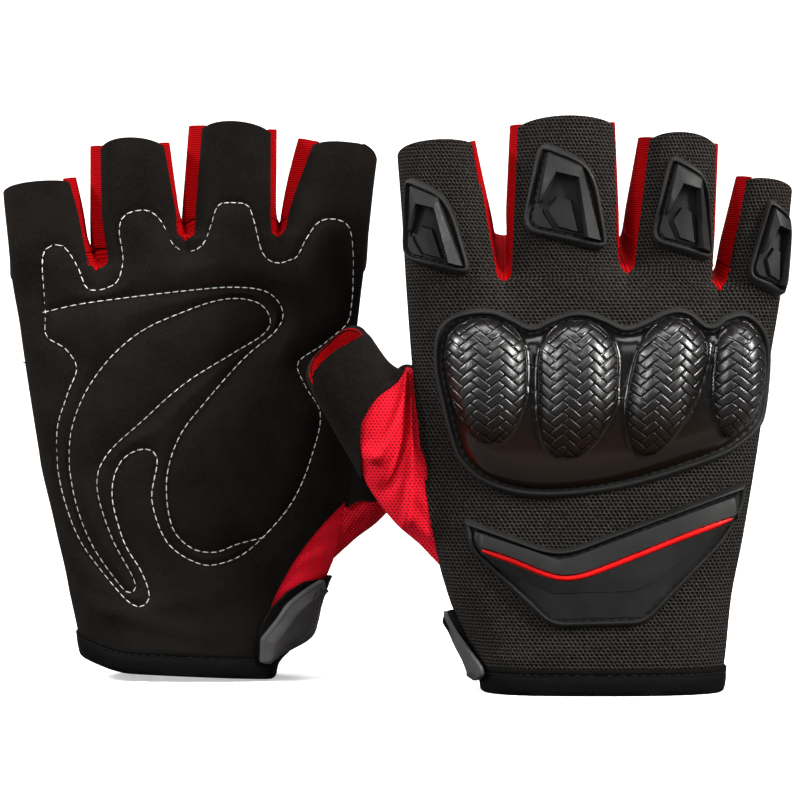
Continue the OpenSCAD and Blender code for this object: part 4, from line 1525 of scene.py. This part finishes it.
def thumb_ring(v, angle, offset):
    """Point on the thumb, at a share v from the hand to the open end; angle 0 is its index side."""
    high, low = (np.stack([np.interp(v, np.linspace(0, 1, len(line)), line[:, k]) for k in (0, 1)], -1)
                 for line in (upper_line, lower_line))
    middle, half = (high + low) / 2, (high - low) / 2
    size = np.linalg.norm(half, axis=-1)
    depth = lerp(THUMB_RISE, 9.6, ramp(v, 0, 0.45)) - 0.8 * ramp(v, 0.6, 1)
    reach = np.cos(angle) * (size + offset) / size
    beyond = np.maximum(0, v - 1)[..., None] * THUMB_LONG * THUMB_WAY
    flat = middle + half * reach[..., None] + beyond
    return np.stack([flat[..., 0], -(depth + offset) * signed_power(np.sin(angle), 0.9), flat[..., 1]], -1)


# Share along the thumb where the black stall takes over from the red gusset, by angle in degrees
stall_start = profile(
    (0, 0.25), (20, 0.38), (61, 0.65), (101, 0.735), (127, 0.72), (147, 0.69), (180, 0.66),
    (203, 0.57), (222, 0.44), (232, 0.30), (240, 0.16), (248, 0.0), (290, 0.0), (325, 0.01),
    (345, 0.12), (360, 0.25),
)
# Share along the thumb where the stall ends: it bulges on both faces, more on the palm's
stall_end = profile(
    (0, 1.0), (20, 0.985), (60, 1.0), (90, 1.02), (130, 1.0), (160, 0.955), (180, 0.95),
    (205, 1.02), (233, 1.085), (270, 1.11), (305, 1.114), (335, 1.07), (360, 1.0),
)


THUMB_ANGLE = np.linspace(0, 2 * math.pi, 120, endpoint=False)
THUMB_GIRTH = 60                        # length of the cloth round the thumb


def gusset_swell(v, turn, stop):
    """How far the gusset's net stands out: gathered on the back, and flat where it meets the stall."""
    wide = np.degrees(turn)

    def fold(place, width):
        return np.exp(-((v - place) * THUMB_LONG / width) ** 2)

    open_side = ramp(wide, 8, 40) * (1 - ramp(wide, 120, 175))
    gathers = 3.0 * fold(0.10 + 0.50 * wide / 110, 1.2) + 2.4 * fold(0.04 + 0.22 * wide / 110, 1.2)
    gathers = (gathers - 2.2 * fold(0.07 + 0.36 * wide / 110, 1.4) - 0.6) * open_side
    ripple = 0.28 * np.sin(turn * 13 + 5 * v) * ramp(v, 0.02, 0.12) * (1 - ramp(v, 0.2, 0.45))
    belly = 1.3 * np.sin(math.pi * np.clip(v / 0.75, 0, 1)) * (1 - ramp(wide, 150, 230))
    swell = np.minimum(gathers + ripple + belly, 0.1 + 3.2 * ramp(v, 0, 0.08))
    swell = np.minimum(swell, 0.15 + 2.9 * np.clip((stop - v) / 0.1, 0, 1))
    return np.where(stop < 0.02, -0.8, swell)   # hidden where the stall reaches the hand


def build_thumb():
    """Net gusset, suede stall, the red tape inside its open end and the rolled hem."""
    degrees = np.degrees(THUMB_ANGLE)
    stop, end = np.maximum(0.004, stall_start(degrees))[:, None], stall_end(degrees)[:, None]
    share = np.linspace(0, 1, 50)[None, :]

    def sleeve(name, v, outside, inside, paint, part, woven=True):
        turn = np.broadcast_to(THUMB_ANGLE[:, None], v.shape)
        around = np.linspace(0, THUMB_GIRTH, len(v) + 1)[:, None]
        weave = chart(around, np.vstack([v, v[:1]]) * THUMB_LONG) if woven else None
        data = shell(name, thumb_ring(v, turn, outside), thumb_ring(v, turn, inside), weave, ring=True)
        add(name, data, paint, bend="thumb", parts=(part,))

    v = share * (stop + 0.03)
    turn = np.broadcast_to(THUMB_ANGLE[:, None], v.shape)
    swell = gusset_swell(v, turn, stop)
    sleeve("thumb_mesh_gusset", v, swell, swell - 0.9, "red_mesh", "thumb_gusset", woven=False)
    v = stop + (end - stop) * share
    hem = 0.35 * (1 - ramp(v - stop, 0.0, 0.05))
    dent = 0.35 * np.sin(3 * turn + 8 * v) * ramp(v, 0.5, 0.7) * (1 - ramp(v, 0.9, 1))
    sleeve("thumb_sleeve", v, 0.55 + hem + dent, -0.55 + dent, "suede", "thumb_stall")
    v = end - 0.004 - np.linspace(0, 0.2, 10)[None, :]
    sleeve("thumb_tape", v, -0.6, -1.2, "red_rib", "thumb_binding")
    hem_line = thumb_ring(end[:, 0] - 0.012, THUMB_ANGLE, -1.0)
    data = tube("hem", hem_line, 0.3, np.tile([0.0, 1.0, 0.0], (len(hem_line), 1)), sides=8, closed=True)
    add("thumb_hem", data, "tape", bend="thumb", parts=("thumb_binding",))
    build_tail()


def build_tail():
    """The gusset's tail, which runs down the palm side of the wrist beside the palm cloth, in a lighter
    copy of the gusset's net as painted light.
    """
    z = np.linspace(16.5, 51.6, 54)[None, :]
    u = np.linspace(0, 1, 22)[:, None]
    left = thumb_edge(z)
    right = np.maximum(tail_edge(z), thumb_edge(z) - 0.2) + 0.6
    x = left + (right - left) * u ** 1.6
    z = np.broadcast_to(z, x.shape)
    ruffle = 0.25 * np.sin(0.9 * z + 0.3 * x)
    grid = np.stack([x, hand_depth(PALM, x, z) - 0.25 + ruffle, z], -1)
    data = sewn_sheet("tail", grid, PALM, lengths(grid), thickness=WALL_CLOTH)
    add("thumb_gusset_tail", data, "red_mesh_painted_light", parts=("thumb_gusset",))


# ---------------------------------------------------------------- closure

def wrist_wrap(x, z, height):
    """Point over the palm side of the wrist; beyond the edge it goes round to the back."""
    seen = 3.0                          # height at which x is true
    turned = 0.95                       # share of the half width from which x is measured round the edge
    across = np.clip((hand_middle(z) - x) / (hand_half(z) + seen), -1, 1.3)
    angle = np.arccos(np.sign(across) * np.abs(np.clip(across, -1, turned)) ** (1 / ROUNDNESS))
    angle = angle - 3.5 * np.maximum(0, across - turned)
    depth = np.where(angle > 0, palm_depth(z), back_depth(z))
    x_out = hand_middle(z) - (hand_half(z) + height) * signed_power(np.cos(angle), ROUNDNESS)
    return np.stack([x_out, (depth + height) * signed_power(np.sin(angle), ROUNDNESS), z + 0 * x], -1)


# Edges of the strap, as keys (x, z) from its sewn root at the thumb side to its free end
STRAP_TOP = (
    (-43, 26), (-40.5, 29), (-38.4, 29), (-35.2, 27.2), (-31.2, 24.6), (-26.4, 19.6), (-23.9, 14.6),
)
STRAP_LOW = (
    (-43, 12), (-40.5, 12), (-38.6, 12), (-34.5, 8.2), (-29.4, 5), (-24.4, 4), (-23.9, 4.2),
)
TAB_CORNERS = (
    (-40.2, 28.6), (-40.9, 26.2), (-39.9, 17.6), (-39.1, 13.6), (-37.4, 10.4), (-34.0, 7.2),
    (-28.8, 3.5), (-26.6, 2.0), (-23.8, 3.0), (-23.6, 11.5), (-28.1, 17.5), (-30.5, 21.3),
    (-33.5, 24), (-37, 26.6),
)


# How each glove's strap is closed: turn in degrees about STRAP_MIDDLE, then a move round the wrist and up
CLOSED = {"glove_a": (0, 0, 0), "glove_b": (-14, -5.5, -8.2)}
STRAP_MIDDLE = (-33, 15)
STRAP_LIFT = 0.9                        # height of the strap above the cloth, over the hook and loop
LOWEST = 9                              # height that the closed strap's lower edge bends away from


def strap_spot(glove, x, z, height, rooted):
    """Point of a closed strap; a rooted one narrows the move to nothing where it is sewn on."""
    turn, move_x, move_z = CLOSED[glove]
    turn = math.radians(turn)
    free = ramp(x, -40.4, -35.5) if rooted else 1
    x, z = x - STRAP_MIDDLE[0], z - STRAP_MIDDLE[1]
    x, z = x * math.cos(turn) - z * math.sin(turn), x * math.sin(turn) + z * math.cos(turn)
    x, z = x + STRAP_MIDDLE[0] + move_x, z + STRAP_MIDDLE[1] + move_z
    z = np.where(z < LOWEST, LOWEST - 8 * (1 - np.exp(np.minimum(0, z - LOWEST) / 8)), z)
    root = hand_middle(z) - 1.09 * (hand_half(z) + 3)       # just round the edge of the wrist
    return wrist_wrap(lerp(root, x, free), z, height)


def strap_sheet(glove, name, x, z, high, low, rooted=False):
    """Sheet of the closure between two heights above the cloth."""
    top, bottom = (strap_spot(glove, x, z, height * np.ones(z.shape), rooted) for height in (high, low))
    return shell(name, top, bottom, chart(x, z))


def tab_relief(x, z, inset):
    """The pull tab's bevelled edge, its slope and its sunk face."""
    levels = ((0, 0.1), (0.12, 1.1), (0.5, 1.4), (0.75, 1.4), (2.7, 2.6), (3.1, 2.65), (3.2, 2.4),
              (9, 2.45))
    return np.interp(inset, *np.array(levels).T)


def build_closure(glove):
    """Strap, hook and loop patches and rubber pull tab of one glove."""
    only = (glove,)

    def grip(side, x, z, height):
        return strap_spot(glove, x, z, height + STRAP_LIFT + 1, False)

    x = np.linspace(-40.4, -23.9, 44)[:, None]
    top = np.interp(x, *np.array(STRAP_TOP).T)
    low = np.interp(x, *np.array(STRAP_LOW).T)
    z = low + (top - low) * np.linspace(0, 1, 18)[None, :]
    x = np.broadcast_to(x, z.shape)
    under = STRAP_LIFT * ramp(x, -40.4, -38)                # its root is sewn down
    data = strap_sheet(glove, "strap", x, z, under + 1, under, rooted=True)
    add("strap_webbing", data, "strap", bend="closure", parts=("closure_strap",),
        gloves=only)
    x, z = np.meshgrid(np.linspace(-34, -25, 22), np.linspace(6, 16, 14), indexing="ij")
    data = strap_sheet(glove, "hook", x, z, STRAP_LIFT - 0.05, 0.55)
    add("hook_tape", data, "hook", body="closure", parts=("hook_patch",), gloves=only)
    data = strap_sheet(glove, "loop", x, z, 0.5, 0.05)
    add("loop_tape", data, "loop", parts=("loop_patch",), gloves=only)
    outline = resample(rounded(TAB_CORNERS, 0.9), 0.6, closed=True)
    insets = [0, 0.06, 0.12, 0.3, 0.5, 0.75, 1.4, 2.0, 2.7, 3.1, 3.2]
    data = plate("tab", outline, insets, tab_relief, PALM, grip, 10, 0.05, middle=(-32.4, 14.8), sharp=22)
    add("rubber_tab", data, "tab_rubber", bend="closure", parts=("pull_tab",), gloves=only)


# ---------------------------------------------------------------- stage

PAPER = {True: 0.92, False: 0.12}       # the floor's grey level to the camera and to other rays
ROOM_LIGHT = (0.15, 0.95)               # strength of the world as a light and as seen by the camera
SENSOR = 36
# Name, place, target, width, height, power and colour of each light
LIGHTS = (
    ("strip_right", (0.60, -0.42, 0.44), (0, 0, 0.08), 0.09, 0.45, 13.0, (1.0, 0.98, 0.96)),
    ("strip_left", (-0.66, -0.60, 0.50), (0, 0, 0.08), 0.07, 0.45, 5.5, (0.97, 0.98, 1.0)),
    ("front", (0.0, -1.5, 1.1), (0, 0, 0.08), 0.8, 0.8, 8.5, (1, 1, 1)),
    ("top", (0.0, 0.05, 1.2), (0, 0, 0.08), 0.9, 0.9, 7, (1, 1, 1)),
    ("side_left", (-0.50, -0.06, 0.34), (0, 0, 0.08), 0.10, 0.10, 2.8, (1, 1, 1)),
    ("back", (0.1, 0.8, 1.2), (0, 0, 0.08), 0.8, 0.8, 6.0, (1, 1, 1)),
    ("wash", (0.0, 0.3, 2.4), (0, 1.3, 0.3), 2.0, 2.0, 50, (1, 1, 1)),
)


def build_backdrop():
    """Pale floor that curves up into a wall, and is duller to other rays than to the camera."""
    turn = np.linspace(0, math.pi / 2, 14)[1:]
    depth = np.concatenate([np.linspace(-2.0, 0.9, 12), 0.9 + 0.6 * np.sin(turn), [1.5]])
    height = np.concatenate([np.zeros(12), 0.6 - 0.6 * np.cos(turn), [3.0]])
    points = [(x, y, z) for x in (-3.5, 3.5) for y, z in zip(depth, height)]
    n = len(depth)
    data = bpy.data.meshes.new("backdrop")
    data.from_pydata(points, [], [(k, k + 1, n + k + 1, n + k) for k in range(n - 1)])
    data.polygons.foreach_set("use_smooth", [True] * (n - 1))
    paper = bpy.data.materials.new("pale_paper")
    paper.use_nodes = True
    tree = paper.node_tree
    shader = tree.nodes["Principled BSDF"]
    seen = tree.nodes.new("ShaderNodeLightPath").outputs["Is Camera Ray"]
    shade = tree.nodes.new("ShaderNodeMix")
    shade.data_type = "RGBA"
    shade.inputs[6].default_value = (*[PAPER[False]] * 3, 1)
    shade.inputs[7].default_value = (*[PAPER[True]] * 3, 1)
    tree.links.new(seen, shade.inputs["Factor"])
    tree.links.new(shade.outputs[2], shader.inputs["Base Color"])
    tree.links.new(seen, shader.inputs["Emission Strength"])
    shader.inputs["Roughness"].default_value = 0.9
    shader.inputs["Emission Color"].default_value = (0.4, 0.4, 0.4, 1)
    data.materials.append(paper)
    place_object("backdrop", data)


def build_lights():
    """Seven area lights, and a world that is white to the camera but dim as a light."""
    for name, place, target, width, height, power, color in LIGHTS:
        light = bpy.data.lights.new(name, "AREA")
        light.shape = "RECTANGLE"
        light.size, light.size_y = width, height
        light.energy = power
        light.color = color
        lamp = place_object(name, light)
        lamp.location = place
        lamp.rotation_euler = (Vector(target) - Vector(place)).to_track_quat("-Z", "Y").to_euler()
    world = bpy.context.scene.world or bpy.data.worlds.new("studio")
    bpy.context.scene.world = world
    world.use_nodes = True
    tree = world.node_tree
    background = tree.nodes["Background"]
    background.inputs["Color"].default_value = (1.0, 1.0, 1.0, 1)
    seen = tree.nodes.new("ShaderNodeLightPath").outputs["Is Camera Ray"]
    strength = tree.nodes.new("ShaderNodeMapRange")
    strength.inputs["To Min"].default_value, strength.inputs["To Max"].default_value = ROOM_LIGHT
    tree.links.new(seen, strength.inputs["Value"])
    tree.links.new(strength.outputs[0], background.inputs["Strength"])


def build_camera():
    """Level camera, so far to one side of the nearer glove that both show as in the photo."""
    camera = bpy.data.cameras.new("camera")
    camera.sensor_width = SENSOR
    eye = place_object("camera", camera)
    bpy.context.scene.camera = eye
    near = PLACE["glove_b"].translation
    view_height = 78.7 * MM             # level with the middle of the nearer glove
    view_wide = 213.4 * MM              # width of the picture at the nearer glove's back
    distance = 0.80
    back = near.y - 13 * MM
    eye.location = (near.x - 52.6 * MM, back - distance, view_height)
    eye.rotation_euler = (math.pi / 2, 0, 0)
    camera.lens = SENSOR * distance / view_wide
    camera.clip_start = 0.05
    bpy.context.scene.view_settings.view_transform = "Standard"


build_shell()
for glove in GLOVES:
    for notch in range(3):
        build_notch(glove, notch)
build_cuff()
build_knuckle_guard()
build_wrist_guard()
build_finger_pads()
build_palm()
build_thumb()
for glove in GLOVES:
    build_closure(glove)
build_backdrop()
build_lights()
build_camera()
